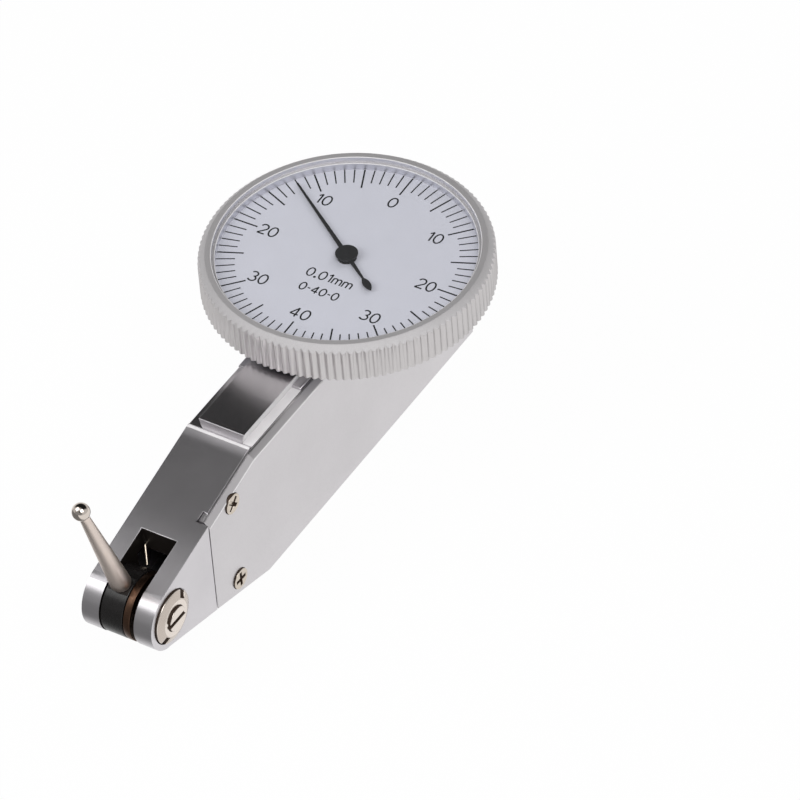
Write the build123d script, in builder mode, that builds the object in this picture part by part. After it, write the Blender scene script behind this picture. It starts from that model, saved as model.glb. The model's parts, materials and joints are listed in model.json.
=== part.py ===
from build123d import *
import math
import os

os.makedirs("parts", exist_ok=True)

# Sizes are in millimetres. x runs forward to the contact ball, y to the cover side and z up out of the dial.
# The flat underside lies on z = 0, and the dial turns about the line x = y = 0.

# Body
body_left = -4.4
body_width = 8.7
rear_end = -16.6
ledge_height = 17.5
bottom_bend = 25.5
top_bend = 26.35
nose_radius = 3.85
pivot_x = 43.7
pivot_height_share = 18 / 35
left_wall = 1.3
floor_wall = 1.6
roof_wall = 1.5
chamber_back = -9.0
chamber_front = 28.0
chamber_fillet = 1.2
channel_height = 5.2
ridge_rise = 0.2
ridge_width = 0.33
ledge_step = 0.3
ledge_step_end = 15.5

# Fork at the nose
slot_left = -2.25
slot_right = 2.1
slot_back = 38.4

# Dovetail bars
dovetail_centre = -0.2
dovetail_width = 5.7
dovetail_height = 1.45
dovetail_angle = 75.0
front_bar_end = 25.45
rear_bar_bottom = 2.0
rear_bar_drop = 2.0

# Side cover
cover_thickness = 0.9
cover_front = 35.5
cover_chamfer = 0.65
cover_gap = 0.16
cover_tab_length = 1.0
cover_tab_reach = 0.45
cover_tab_depth = 0.5
cover_screw_inset_top = 1.75
cover_screw_inset_bottom = 2.0
cover_screw_front = 31.0
cover_screw_rear = -12.8
cover_screw_proud = 0.2

# Small screws, all of one size
screw_head_radius = 1.2
screw_head_height = 0.55
screw_stem_radius = 0.5
screw_stem_length = 1.6
screw_hole_clearance = 0.05
screw_recess_length = 1.75
screw_recess_width = 0.42
screw_recess_depth = 0.35

# Dial, bezel and case
bezel_radius = 16.0
bezel_lift = 2.07
bezel_rise = 1.5
bezel_top_inset = 0.8
bezel_cone_height = 0.75
bezel_lip_inset = 1.85
knurl_depth = 0.28
knurl_count = 120
knurl_crest_share = 0.25
dial_rise = 5.1
dial_inset = 1.3
dial_thickness = 0.4
dial_hole_radius = 1.05
crystal_inset = 1.5
crystal_rise = 0.9
crystal_thickness = 0.5
crystal_fit = 0.02
dial_fit = 0.05
snap_ring_width = 0.55
snap_ring_height = 0.35
snap_ring_gap = 10.0
case_height = 4.1
case_inset = 1.0
case_foot_inset = 4.0
case_flange_lift = 2.2
case_floor = 1.7
case_wall = 1.2
bezel_fit = 0.08
spring_groove_lift = 2.8
spring_groove_height = 0.4
spring_groove_depth = 0.3
spring_fit = 0.03
case_screw_inset = 2.3
case_screw_y = 1.9

# Gear train, module and tooth counts
module = 0.15
sector_teeth_full_circle = 160
sector_teeth = 6
pinion_teeth = 10
crown_teeth = 54
tooth_addendum = 0.13
tooth_dedendum = 0.18
tooth_root_share = 0.54
tooth_tip_share = 0.24
mesh_slack = 0.03
travel_per_turn = 0.8

# Arbors, jewels and their layers across the body
arbor_radius = 0.45
arbor_pivot_radius = 0.22
arbor_pivot_length = 0.5
pivot_fit = 0.02
jewel_radius = 0.75
jewel_thickness = 0.6
sector_left = -1.0
sector_thickness = 0.7
sector_hub_radius = 1.5
sector_arm_width = 2.0
pinion_overhang = 0.25
crown_rim_thickness = 0.5
crown_rim_width = 0.9
crown_mesh_depth = 0.22
crown_tooth_taper = 12.0
crown_hub_radius = 1.1
crown_window_radius = 0.85
crown_window_ring = 2.25
crown_window_count = 5
bridge_left = 2.0
bridge_thickness = 0.8
bridge_edge = 1.7
pillar_radius = 1.3
pillar_front = 14.5
pillar_rear = -6.5
pillar_margin = 2.4
cock_gap = 0.4
cock_thickness = 0.8
cock_half_width = 1.3
cock_front = 0.8
cock_foot_half_width = 3.4
cock_headroom = 0.2
cock_foot_thickness = 0.8
cock_screw_spacing = 4.0
cock_screw_rise = 2.0
pointer_pinion_margin = 0.2

# Pointer and hairspring
pointer_margin = 3.5
pointer_tail = 6.35
pointer_width = 0.55
pointer_tip_width = 0.12
pointer_thickness = 0.12
pointer_clearance = 0.35
pointer_boss_radius = 0.85
pointer_boss_height = 0.55
pointer_cap_radius = 1.24
pointer_cap_lift = 0.08
pointer_cap_height = 0.22
pointer_leaf_length = 2.1
pointer_leaf_width = 0.85
pointer_neck_width = 0.26
pointer_rest_angle = 55.8
hairspring_lift = 0.7
hairspring_strip = 0.12
hairspring_height = 0.4
hairspring_inner = 1.15
hairspring_spacing = 0.5
hairspring_turns = 4
collet_radius = 1.0
collet_height = 0.9
stud_radius = 0.4

# Stylus and its pivot
hub_left = -2.1
hub_width = 2.7
hub_radius = 3.8
stylus_reach = 19.7
stylus_angle = 70.6
ball_radius = 1.0
shank_tip_radius = 0.5
shank_base_radius = 1.18
shank_collar_radius = 1.0
shank_collar_length = 0.5
shank_thread_radius = 0.7
shank_thread_depth = 1.7
shank_thread_fit = 0.02
lever_left = 0.72
lever_thickness = 0.8
lever_hub_radius = 3.8
lever_arm_root = 4.0
lever_arm_end = 1.7
lever_pin_radius = 0.4
lever_pin_fit = 0.03
lever_pin_overhang = 0.25
axle_radius = 0.8
axle_fit = 0.02
washer_radius = 2.0
washer_thickness = 0.1
bush_radius = 3.05
bush_seat_clearance = 0.12
bush_head_depth = 1.2
bush_rim = 0.22
bush_proud = 0.6
bush_flat_radius = 2.1
bush_stem_radius = 2.2
bush_notch_width = 0.9
bush_notch_depth = 0.85
bush_notch_sink = 0.9
bush_notch_angle = 135.0
pivot_screw_radius = 1.45
pivot_screw_height = 0.85
pivot_screw_proud = 0.28
pivot_screw_slot = 0.5
pivot_screw_slot_depth = 0.4
left_bush_radius = 2.0
left_bush_recess = 0.25
bearing_depth = 1.1
lever_wire_radius = 0.15
lever_wire_rise = 3.5
lever_wire_y = -1.75
lever_wire_anchor = 1.2
lever_wire_lead = 0.45
lever_wire_reach = 1.2
lever_wire_side = 0.9
lever_wire_drop = 1.5

# Places worked out from the sizes above
body_right = body_left + body_width
seam = body_right - cover_thickness
chamber_left = body_left + left_wall
chamber_top = ledge_height - roof_wall
pivot_z = ledge_height * pivot_height_share
bar_top = ledge_height + dovetail_height
rear_bar_top = ledge_height - rear_bar_drop
bar_waist = dovetail_width - 2 * dovetail_height / math.tan(math.radians(dovetail_angle))
pinion_radius = pinion_teeth * module / 2
sector_radius = sector_teeth_full_circle * module / 2
crown_radius = crown_teeth * module / 2
crown_inner = crown_radius - crown_rim_width / 2
crown_outer = crown_radius + crown_rim_width / 2
sector_x = sector_radius + pinion_radius + mesh_slack
gear_ratio = (sector_teeth_full_circle / pinion_teeth) * (crown_teeth / pinion_teeth)
lever_ratio = 2 * math.pi * stylus_reach / (travel_per_turn * gear_ratio)
sector_arm = (pivot_x - sector_x) / (1 + lever_ratio)
pin_x = sector_x + sector_arm
sector_right = sector_left + sector_thickness
crown_tooth_tip = pinion_radius + tooth_addendum - crown_mesh_depth
crown_tooth_root = crown_tooth_tip + tooth_addendum + tooth_dedendum
crown_back = crown_tooth_root + crown_rim_thickness
lever_right = lever_left + lever_thickness
hub_right = hub_left + hub_width
hub_middle = hub_left + hub_width / 2
case_radius = bezel_radius - case_inset
case_foot_radius = bezel_radius - case_foot_inset
case_flange_bottom = ledge_height + case_flange_lift
case_top = ledge_height + case_height
case_floor_top = ledge_height + case_floor
case_inner = case_foot_radius - case_wall
case_screw_x = case_inner - case_screw_inset
spring_groove_bottom = ledge_height + spring_groove_lift
dial_height = ledge_height + dial_rise
dial_radius = bezel_radius - dial_inset
dial_bottom = dial_height - dial_thickness
dial_bore = dial_radius + dial_fit
bezel_bore = case_radius + bezel_fit
bezel_bottom = ledge_height + bezel_lift
bezel_top = dial_height + bezel_rise
bezel_top_radius = bezel_radius - bezel_top_inset
bezel_lip_radius = bezel_radius - bezel_lip_inset
bezel_cone_bottom = bezel_top - bezel_cone_height
crystal_radius = bezel_radius - crystal_inset
crystal_seat = dial_height + crystal_rise
snap_ring_bottom = dial_bottom - snap_ring_height
pinion_bottom = pivot_z + crown_inner - pointer_pinion_margin
pinion_height = crown_rim_width + 2 * pointer_pinion_margin
cock_bottom = pinion_bottom - cock_gap - cock_thickness
cock_foot_height = chamber_top - cock_headroom - cock_bottom
arbor_foot = cock_bottom + cock_thickness - jewel_thickness
arbor_shoulder = cock_bottom + cock_thickness + pivot_fit
pillar_spread = (chamber_top - floor_wall) / 2 - pillar_margin
pointer_length = bezel_radius - pointer_margin
pointer_level = dial_height + pointer_clearance
hairspring_level = case_floor_top + hairspring_lift
stylus_direction = (math.cos(math.radians(stylus_angle)), 0, math.sin(math.radians(stylus_angle)))
pivot_centre = (pivot_x, hub_middle, pivot_z)
ball_centre = tuple(c + stylus_reach * d for c, d in zip(pivot_centre, stylus_direction))


def side_plane(y, x=0, z=0):
    """Upright plane through a point, with x forward and z up, whose extrusions run to the left."""
    return Plane(origin=(x, y, z), x_dir=(1, 0, 0), z_dir=(0, -1, 0))


def nose_touch(corner_x, corner_z):
    """Point where the straight edge from a body corner runs into the round of the nose."""
    dx = pivot_x - corner_x
    dz = pivot_z - corner_z
    swing = math.acos(nose_radius / math.hypot(dx, dz))
    turn = math.atan2(-dz, -dx) + math.copysign(swing, dz)
    return pivot_x + nose_radius * math.cos(turn), pivot_z + nose_radius * math.sin(turn)


def edge_height(x, corner, touch):
    """Height of a sloping body edge at x."""
    return corner[1] + (x - corner[0]) * (touch[1] - corner[1]) / (touch[0] - corner[0])


def tab_outline(back, front):
    """Side view of the cover's front tab, whose top lies in the slope of the body."""
    back_top = edge_height(back, top_corner, top_touch)
    front_top = edge_height(front, top_corner, top_touch)
    foot = front_top - cover_tab_depth
    return [(back, foot), (front, foot), (front, front_top), (back, back_top)]


def tooth_points(teeth, pitch_radius, first_angle, count):
    """Corners of straight-sided teeth standing on a pitch circle, in radians from the first tooth."""
    step = 2 * math.pi / teeth
    points = []
    for tooth in range(count):
        middle = first_angle + tooth * step
        for radius, share in (
            (pitch_radius - tooth_dedendum, -tooth_root_share),
            (pitch_radius + tooth_addendum, -tooth_tip_share),
            (pitch_radius + tooth_addendum, tooth_tip_share),
            (pitch_radius - tooth_dedendum, tooth_root_share),
        ):
            angle = middle + share * step / 2
            points.append((radius * math.cos(angle), radius * math.sin(angle)))
    return points


bottom_corner = (bottom_bend, 0)
top_corner = (top_bend, ledge_height)
bottom_touch = nose_touch(*bottom_corner)
top_touch = nose_touch(*top_corner)
nose_tip = (pivot_x + nose_radius, pivot_z)
cover_front_top = edge_height(cover_front, top_corner, top_touch)
cover_front_bottom = edge_height(cover_front, bottom_corner, bottom_touch)
ridge_x = top_bend - ridge_rise * (top_touch[0] - top_bend) / (ledge_height - top_touch[1])
front_screw_top = edge_height(cover_screw_front, top_corner, top_touch) - cover_screw_inset_top
front_screw_bottom = edge_height(cover_screw_front, bottom_corner, bottom_touch) + cover_screw_inset_bottom
cover_screw_spots = [
    (cover_screw_front, front_screw_top),
    (cover_screw_front, front_screw_bottom),
    (cover_screw_rear, ledge_height - 2 * cover_screw_inset_top),
    (cover_screw_rear, 2 * cover_screw_inset_bottom),
]
pillar_spots = [
    (pillar_front, pivot_z + pillar_spread),
    (pillar_front, pivot_z - pillar_spread),
    (pillar_rear, pivot_z),
]
cock_screw_z = cock_bottom + cock_screw_rise
case_screw_spots = [
    (case_screw_x, case_screw_y),
    (case_screw_x, -case_screw_y),
    (-case_screw_x, case_screw_y),
    (-case_screw_x, -case_screw_y),
]
dovetail_profile = [
    (-bar_waist / 2, 0),
    (bar_waist / 2, 0),
    (dovetail_width / 2, dovetail_height),
    (-dovetail_width / 2, dovetail_height),
]

# Frame: one bar with a tapered forked nose, two dovetails and a chamber that the side cover closes
with BuildPart() as frame:
    with BuildSketch(side_plane(body_right)):
        with BuildLine():
            Polyline(
                top_touch,
                (ridge_x, ledge_height + ridge_rise),
                (ridge_x - ridge_width, ledge_height),
                (rear_end, ledge_height),
                (rear_end, 0),
                bottom_corner,
                bottom_touch,
            )
            ThreePointArc(bottom_touch, nose_tip, top_touch)
        make_face()
    extrude(amount=body_width)
    with BuildSketch(Plane.XY.offset(ledge_height)):
        with Locations((ledge_step_end / 2, (body_left + body_right) / 2)):
            Rectangle(ledge_step_end, body_width)
    extrude(amount=ledge_step)
    with BuildSketch(Plane.YZ.offset(rear_end)):
        with Locations((seam + cover_thickness, ledge_height / 2)):
            Rectangle(2 * cover_thickness, 2 * ledge_height)
    extrude(amount=cover_front - rear_end, mode=Mode.SUBTRACT)
    with BuildSketch(side_plane(seam)):
        Polygon(*tab_outline(cover_front - cover_tab_length - 2 * cover_gap, cover_front), align=None)
    extrude(amount=cover_tab_reach + cover_gap, mode=Mode.SUBTRACT)
    with BuildSketch(Plane.YZ.offset(front_bar_end)):
        with Locations((dovetail_centre, ledge_height)):
            Polygon(*dovetail_profile, align=None)
    extrude(amount=-front_bar_end)
    with BuildSketch(Plane.XY.offset(rear_bar_bottom)):
        with Locations(Location((rear_end, dovetail_centre), 90)):
            Polygon(*dovetail_profile, align=None)
    extrude(amount=rear_bar_top - rear_bar_bottom)
    with BuildSketch(Plane.XY.offset(ledge_height)):
        Circle(case_foot_radius + bezel_fit)
    extrude(amount=bar_top, mode=Mode.SUBTRACT)
    with BuildSketch(side_plane(seam)):
        with Locations(((chamber_back + chamber_front) / 2, (floor_wall + chamber_top) / 2)):
            RectangleRounded(chamber_front - chamber_back, chamber_top - floor_wall, chamber_fillet)
        with Locations(((chamber_front + cover_front) / 2, pivot_z)):
            Rectangle(cover_front - chamber_front + 2 * chamber_fillet, channel_height)
    extrude(amount=seam - chamber_left, mode=Mode.SUBTRACT)
    with BuildSketch(side_plane(slot_right)):
        with Locations(((cover_front + slot_back) / 2, pivot_z)):
            Rectangle(slot_back - cover_front + 2 * chamber_fillet, channel_height)
    extrude(amount=slot_right - chamber_left, mode=Mode.SUBTRACT)
    with BuildSketch(side_plane(slot_right)):
        with Locations((slot_back + nose_radius * 2, pivot_z)):
            Rectangle(nose_radius * 4, ledge_height)
    extrude(amount=slot_right - slot_left, mode=Mode.SUBTRACT)
    with BuildSketch(side_plane(chamber_left)):
        with Locations(*pillar_spots):
            Circle(pillar_radius)
    extrude(amount=chamber_left - bridge_left)
    with BuildSketch(side_plane(bridge_left)):
        with Locations(*pillar_spots):
            Circle(screw_stem_radius + screw_hole_clearance)
    extrude(amount=screw_stem_length, mode=Mode.SUBTRACT)
    with BuildSketch(side_plane(seam)):
        with Locations(*cover_screw_spots):
            Circle(screw_stem_radius + screw_hole_clearance)
    extrude(amount=screw_stem_length, mode=Mode.SUBTRACT)
    with BuildSketch(side_plane(chamber_left)):
        with Locations((0, pivot_z), (sector_x, pivot_z)):
            Circle(jewel_radius)
    extrude(amount=jewel_thickness, mode=Mode.SUBTRACT)
    with BuildSketch(side_plane(chamber_left)):
        with Locations((-cock_screw_spacing / 2, cock_screw_z), (cock_screw_spacing / 2, cock_screw_z)):
            Circle(screw_stem_radius + screw_hole_clearance)
    extrude(amount=left_wall / 2, mode=Mode.SUBTRACT)
    with BuildSketch(Plane.XY.offset(ledge_height)):
        with Locations(*case_screw_spots):
            Circle(screw_stem_radius + screw_hole_clearance)
    extrude(amount=-roof_wall, mode=Mode.SUBTRACT)
    with BuildSketch(Plane.XY.offset(ledge_height)):
        Circle(jewel_radius)
    extrude(amount=-roof_wall, mode=Mode.SUBTRACT)
    with BuildSketch(side_plane(body_right)):
        with Locations((pivot_x, pivot_z)):
            Circle(bush_radius + bush_seat_clearance)
    extrude(amount=bush_head_depth, mode=Mode.SUBTRACT)
    with BuildSketch(side_plane(body_right)):
        with Locations((pivot_x, pivot_z)):
            Circle(bush_stem_radius)
    extrude(amount=body_right - slot_right, mode=Mode.SUBTRACT)
    with BuildSketch(side_plane(slot_left)):
        with Locations((pivot_x, pivot_z)):
            Circle(left_bush_radius)
    extrude(amount=slot_left - body_left, mode=Mode.SUBTRACT)
    with BuildSketch(Plane.YZ.offset(slot_back)):
        with Locations((lever_wire_y, pivot_z + lever_wire_rise)):
            Circle(lever_wire_radius)
    extrude(amount=-lever_wire_anchor, mode=Mode.SUBTRACT)
frame.part.label = "frame"
export_step(frame.part, "parts/frame.step")

# Side cover with a chamfered upper edge, let into the right side of the frame
with BuildPart() as side_cover:
    with BuildSketch(side_plane(body_right)):
        with BuildLine():
            Polyline(
                (rear_end, 0),
                bottom_corner,
                (cover_front - cover_gap, cover_front_bottom),
                (cover_front - cover_gap, cover_front_top),
                top_corner,
                (rear_end, ledge_height),
                close=True,
            )
        make_face()
    extrude(amount=cover_thickness)
    with BuildSketch(side_plane(seam)):
        Polygon(*tab_outline(cover_front - cover_gap - cover_tab_length, cover_front - cover_gap), align=None)
    extrude(amount=cover_tab_reach)
    outer_edges = side_cover.edges().filter_by_position(Axis.Y, body_right, body_right)
    chamfer(outer_edges.filter_by_position(Axis.Z, cover_front_top, ledge_height), cover_chamfer)
    with BuildSketch(side_plane(body_right)):
        with Locations(*cover_screw_spots):
            Circle(screw_head_radius + screw_hole_clearance)
    extrude(amount=screw_head_height - cover_screw_proud, mode=Mode.SUBTRACT)
    with BuildSketch(side_plane(body_right)):
        with Locations(*cover_screw_spots):
            Circle(screw_stem_radius + screw_hole_clearance)
    extrude(amount=cover_thickness, mode=Mode.SUBTRACT)
side_cover.part.label = "side_cover"
export_step(side_cover.part, "parts/side_cover.step")


def screw_group(head_plane, spots, stem_length):
    """Cross-slotted screws whose heads reach down from a plane into the work behind it."""
    with BuildPart() as group:
        with BuildSketch(head_plane):
            with Locations(*spots):
                Circle(screw_head_radius)
        extrude(amount=screw_head_height)
        with BuildSketch(head_plane.offset(screw_head_height)):
            with Locations(*spots):
                Circle(screw_stem_radius)
        extrude(amount=stem_length - screw_head_height)
        with BuildSketch(head_plane):
            with Locations(*spots):
                Rectangle(screw_recess_length, screw_recess_width)
                Rectangle(screw_recess_width, screw_recess_length)
        extrude(amount=screw_recess_depth, mode=Mode.SUBTRACT)
    return group


cover_screw_plane = side_plane(body_right + cover_screw_proud)
cover_screw_length = cover_screw_proud + cover_thickness + screw_stem_length
cover_screws = screw_group(cover_screw_plane, cover_screw_spots, cover_screw_length)
cover_screws.part.label = "cover_screws"
export_step(cover_screws.part, "parts/cover_screws.step")

# Dial case: a shallow cup fixed on the ledge, which the bezel turns on
with BuildPart() as dial_case:
    with BuildSketch(Plane.XY.offset(ledge_height)):
        Circle(case_foot_radius)
    extrude(amount=case_top - ledge_height)
    with BuildSketch(Plane.XY.offset(case_flange_bottom)):
        Circle(case_radius)
    extrude(amount=case_top - case_flange_bottom)
    with BuildSketch(Plane.XY.offset(case_floor_top)):
        Circle(case_inner)
    extrude(amount=case_top - case_floor_top, mode=Mode.SUBTRACT)
    with BuildSketch(Plane.XY.offset(spring_groove_bottom)):
        Circle(case_radius)
        Circle(case_radius - spring_groove_depth, mode=Mode.SUBTRACT)
    extrude(amount=spring_groove_height, mode=Mode.SUBTRACT)
    with BuildSketch(Plane.XY.offset(ledge_height)):
        Circle(jewel_radius)
        with Locations(*case_screw_spots):
            Circle(screw_stem_radius + screw_hole_clearance)
    extrude(amount=case_floor, mode=Mode.SUBTRACT)
    with BuildSketch(Plane.XY.offset(case_floor_top)):
        with Locations(*case_screw_spots):
            Circle(screw_head_radius + screw_hole_clearance)
    extrude(amount=-screw_head_height, mode=Mode.SUBTRACT)
dial_case.part.label = "dial_case"
export_step(dial_case.part, "parts/dial_case.step")

case_screw_plane = Plane(origin=(0, 0, case_floor_top), x_dir=(1, 0, 0), z_dir=(0, 0, -1))
case_screws = screw_group(case_screw_plane, case_screw_spots, case_floor + roof_wall)
case_screws.part.label = "case_screws"
export_step(case_screws.part, "parts/case_screws.step")

# Bezel: a knurled ring with a coned top edge, stepped inside for the crystal, the dial and the case
knurl_step = 2 * math.pi / knurl_count
knurl_outline = []
for ridge in range(knurl_count):
    for radius, share in (
        (bezel_radius, 0),
        (bezel_radius, knurl_crest_share),
        (bezel_radius - knurl_depth, (1 + knurl_crest_share) / 2),
    ):
        angle = (ridge + share) * knurl_step
        knurl_outline.append((radius * math.cos(angle), radius * math.sin(angle)))

with BuildPart() as bezel:
    with BuildSketch(Plane.XY.offset(bezel_bottom)):
        with BuildLine():
            Polyline(*knurl_outline, close=True)
        make_face()
    extrude(amount=bezel_top - bezel_bottom)
    with BuildSketch(Plane.XZ):
        with BuildLine():
            Polyline(
                (bezel_top_radius, bezel_top),
                (bezel_radius, bezel_cone_bottom),
                (bezel_radius + bezel_top_inset, bezel_cone_bottom),
                (bezel_radius + bezel_top_inset, bezel_top),
                close=True,
            )
        make_face()
    revolve(axis=Axis.Z, mode=Mode.SUBTRACT)
    with BuildSketch(Plane.XZ):
        with BuildLine():
            Polyline(
                (0, bezel_bottom),
                (bezel_bore, bezel_bottom),
                (bezel_bore, spring_groove_bottom),
                (bezel_bore + spring_groove_depth, spring_groove_bottom),
                (bezel_bore + spring_groove_depth, spring_groove_bottom + spring_groove_height),
                (bezel_bore, spring_groove_bottom + spring_groove_height),
                (bezel_bore, snap_ring_bottom),
                (dial_bore, snap_ring_bottom),
                (dial_bore, dial_height),
                (bezel_lip_radius, dial_height),
                (bezel_lip_radius, crystal_seat),
                (crystal_radius, crystal_seat),
                (crystal_radius, bezel_top),
                (0, bezel_top),
                close=True,
            )
        make_face()
    revolve(axis=Axis.Z, mode=Mode.SUBTRACT)
bezel.part.label = "bezel"
export_step(bezel.part, "parts/bezel.step")

# Clear crystal pressed into the top of the bezel
with BuildPart() as crystal:
    with BuildSketch(Plane.XY.offset(crystal_seat)):
        Circle(crystal_radius - crystal_fit)
    extrude(amount=crystal_thickness)
crystal.part.label = "crystal"
export_step(crystal.part, "parts/crystal.step")

# Dial plate under the bezel lip
with BuildPart() as dial_face:
    with BuildSketch(Plane.XY.offset(dial_bottom)):
        Circle(dial_radius)
        Circle(dial_hole_radius, mode=Mode.SUBTRACT)
    extrude(amount=dial_thickness)
dial_face.part.label = "dial_face"
export_step(dial_face.part, "parts/dial_face.step")


def split_ring(outer, inner, bottom, height, gap):
    """Flat spring ring with a gap at the rear, given in degrees."""
    with BuildPart() as ring:
        with BuildSketch(Plane.XZ):
            with Locations(((outer + inner) / 2, bottom + height / 2)):
                Rectangle(outer - inner, height)
        revolve(axis=Axis.Z, revolution_arc=360 - gap)
    return ring


dial_snap_ring = split_ring(
    dial_radius, dial_radius - snap_ring_width, snap_ring_bottom, snap_ring_height, snap_ring_gap
)
dial_snap_ring.part.label = "dial_snap_ring"
export_step(dial_snap_ring.part, "parts/dial_snap_ring.step")

bezel_spring = split_ring(
    bezel_bore + spring_groove_depth - spring_fit,
    case_radius - spring_groove_depth + spring_fit,
    spring_groove_bottom + spring_fit,
    spring_groove_height - 2 * spring_fit,
    snap_ring_gap,
)
bezel_spring.part.label = "bezel_spring"
export_step(bezel_spring.part, "parts/bezel_spring.step")

# Pointer with a leaf-shaped tail and a turned cap over its boss
pointer_angle = math.radians(180 + pointer_rest_angle)
pointer_plane = Plane(
    origin=(0, 0, pointer_level),
    x_dir=(math.cos(pointer_angle), math.sin(pointer_angle), 0),
    z_dir=(0, 0, 1),
)
leaf_root = -pointer_tail + pointer_leaf_length
leaf_middle = -pointer_tail + pointer_leaf_length / 2
with BuildPart() as pointer:
    with BuildSketch(pointer_plane):
        with BuildLine():
            Polyline(
                (leaf_root, -pointer_neck_width / 2),
                (0, -pointer_width / 2),
                (pointer_length, -pointer_tip_width / 2),
                (pointer_length, pointer_tip_width / 2),
                (0, pointer_width / 2),
                (leaf_root, pointer_neck_width / 2),
            )
            ThreePointArc(
                (leaf_root, pointer_neck_width / 2),
                (leaf_middle, pointer_leaf_width / 2),
                (-pointer_tail, 0),
            )
            ThreePointArc(
                (-pointer_tail, 0),
                (leaf_middle, -pointer_leaf_width / 2),
                (leaf_root, -pointer_neck_width / 2),
            )
        make_face()
    extrude(amount=pointer_thickness)
    with BuildSketch(pointer_plane.offset(pointer_thickness - pointer_boss_height)):
        Circle(pointer_boss_radius)
    extrude(amount=pointer_boss_height + pointer_cap_lift)
    with BuildSketch(pointer_plane.offset(pointer_thickness + pointer_cap_lift)):
        Circle(pointer_cap_radius)
    extrude(amount=pointer_cap_height)
    with BuildSketch(pointer_plane.offset(pointer_thickness - pointer_boss_height)):
        Circle(arbor_radius)
    extrude(amount=pointer_boss_height, mode=Mode.SUBTRACT)
pointer.part.label = "pointer"
export_step(pointer.part, "parts/pointer.step")

# Upright pointer arbor with its leaf pinion and a thin foot pivot
with BuildPart() as pointer_arbor:
    with BuildSketch(Plane.XY.offset(arbor_shoulder)):
        Circle(arbor_radius)
    extrude(amount=pointer_level + pointer_thickness - arbor_shoulder)
    with BuildSketch(Plane.XY.offset(arbor_foot)):
        Circle(arbor_pivot_radius)
    extrude(amount=arbor_shoulder - arbor_foot)
    with BuildSketch(Plane.XY.offset(pinion_bottom)):
        with BuildLine():
            Polyline(*tooth_points(pinion_teeth, pinion_radius, math.pi / 2, pinion_teeth), close=True)
        make_face()
    extrude(amount=pinion_height)
pointer_arbor.part.label = "pointer_arbor"
export_step(pointer_arbor.part, "parts/pointer_arbor.step")

# Collet that grips the inner end of the hairspring
with BuildPart() as hairspring_collet:
    with BuildSketch(Plane.XY.offset(hairspring_level - (collet_height - hairspring_height) / 2)):
        Circle(collet_radius)
        Circle(arbor_radius, mode=Mode.SUBTRACT)
    extrude(amount=collet_height)
hairspring_collet.part.label = "hairspring_collet"
export_step(hairspring_collet.part, "parts/hairspring_collet.step")

# Flat hairspring, wound from half circles that grow by half a pitch each
half_turns = 2 * hairspring_turns
hairspring_end = (-1) ** half_turns * (hairspring_inner + half_turns * hairspring_spacing / 2)
with BuildPart() as hairspring:
    with BuildSketch(Plane.XY.offset(hairspring_level)):
        with BuildLine():
            for half in range(half_turns):
                side = (-1) ** half
                start = side * (hairspring_inner + half * hairspring_spacing / 2)
                finish = -side * (hairspring_inner + (half + 1) * hairspring_spacing / 2)
                middle = (start + finish) / 2
                ThreePointArc((start, 0), (middle, side * abs(finish - start) / 2), (finish, 0))
        trace(line_width=hairspring_strip)
    extrude(amount=hairspring_height)
hairspring.part.label = "hairspring"
export_step(hairspring.part, "parts/hairspring.step")

# Post on the case floor that holds the outer end of the hairspring
with BuildPart() as hairspring_stud:
    with BuildSketch(Plane.XY.offset(case_floor_top)):
        with Locations((hairspring_end + hairspring_strip / 2 + stud_radius, 0)):
            Circle(stud_radius)
    extrude(amount=hairspring_lift + hairspring_height)
hairspring_stud.part.label = "hairspring_stud"
export_step(hairspring_stud.part, "parts/hairspring_stud.step")

# Crown wheel, whose teeth stand out sideways to turn the upright pinion
crown_step = 360 / crown_teeth
crown_pitch = 2 * math.pi * crown_radius / crown_teeth
with BuildPart() as crown_wheel:
    with BuildSketch(side_plane(crown_back)):
        with Locations((0, pivot_z)):
            Circle(crown_outer)
            with PolarLocations(crown_window_ring, crown_window_count):
                Circle(crown_window_radius, mode=Mode.SUBTRACT)
    extrude(amount=crown_rim_thickness)
    with BuildSketch(side_plane(bridge_left - mesh_slack)):
        with Locations((0, pivot_z)):
            Circle(crown_hub_radius)
    extrude(amount=bridge_left - mesh_slack - crown_tooth_root)
    with BuildSketch(side_plane(crown_tooth_root, 0, pivot_z)):
        with PolarLocations(crown_radius, crown_teeth, start_angle=90 + crown_step / 2):
            Rectangle(crown_rim_width, tooth_root_share * crown_pitch)
    extrude(amount=crown_tooth_root - crown_tooth_tip, taper=crown_tooth_taper)
    with BuildSketch(side_plane(bridge_left)):
        with Locations((0, pivot_z)):
            Circle(arbor_radius)
    extrude(amount=bridge_left, mode=Mode.SUBTRACT)
crown_wheel.part.label = "crown_wheel"
export_step(crown_wheel.part, "parts/crown_wheel.step")


def cross_arbor(x):
    """Arbor across the body with a thin pivot in a jewel at each end."""
    with BuildPart() as arbor:
        with BuildSketch(side_plane(bridge_left - pivot_fit)):
            with Locations((x, pivot_z)):
                Circle(arbor_radius)
        extrude(amount=bridge_left - chamber_left - 2 * pivot_fit)
        with BuildSketch(side_plane(bridge_left + arbor_pivot_length)):
            with Locations((x, pivot_z)):
                Circle(arbor_pivot_radius)
        extrude(amount=bridge_left - chamber_left + 2 * arbor_pivot_length)
    return arbor


# Crown arbor and the pinion that the sector drives
crown_arbor = cross_arbor(0)
with BuildPart() as crown_pinion:
    with BuildSketch(side_plane(sector_right + pinion_overhang, 0, pivot_z)):
        with BuildLine():
            Polyline(*tooth_points(pinion_teeth, pinion_radius, 0, pinion_teeth), close=True)
        make_face()
        Circle(arbor_radius, mode=Mode.SUBTRACT)
    extrude(amount=sector_thickness + 2 * pinion_overhang)
crown_arbor.part.label = "crown_arbor"
export_step(crown_arbor.part, "parts/crown_arbor.step")
crown_pinion.part.label = "crown_pinion"
export_step(crown_pinion.part, "parts/crown_pinion.step")

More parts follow.
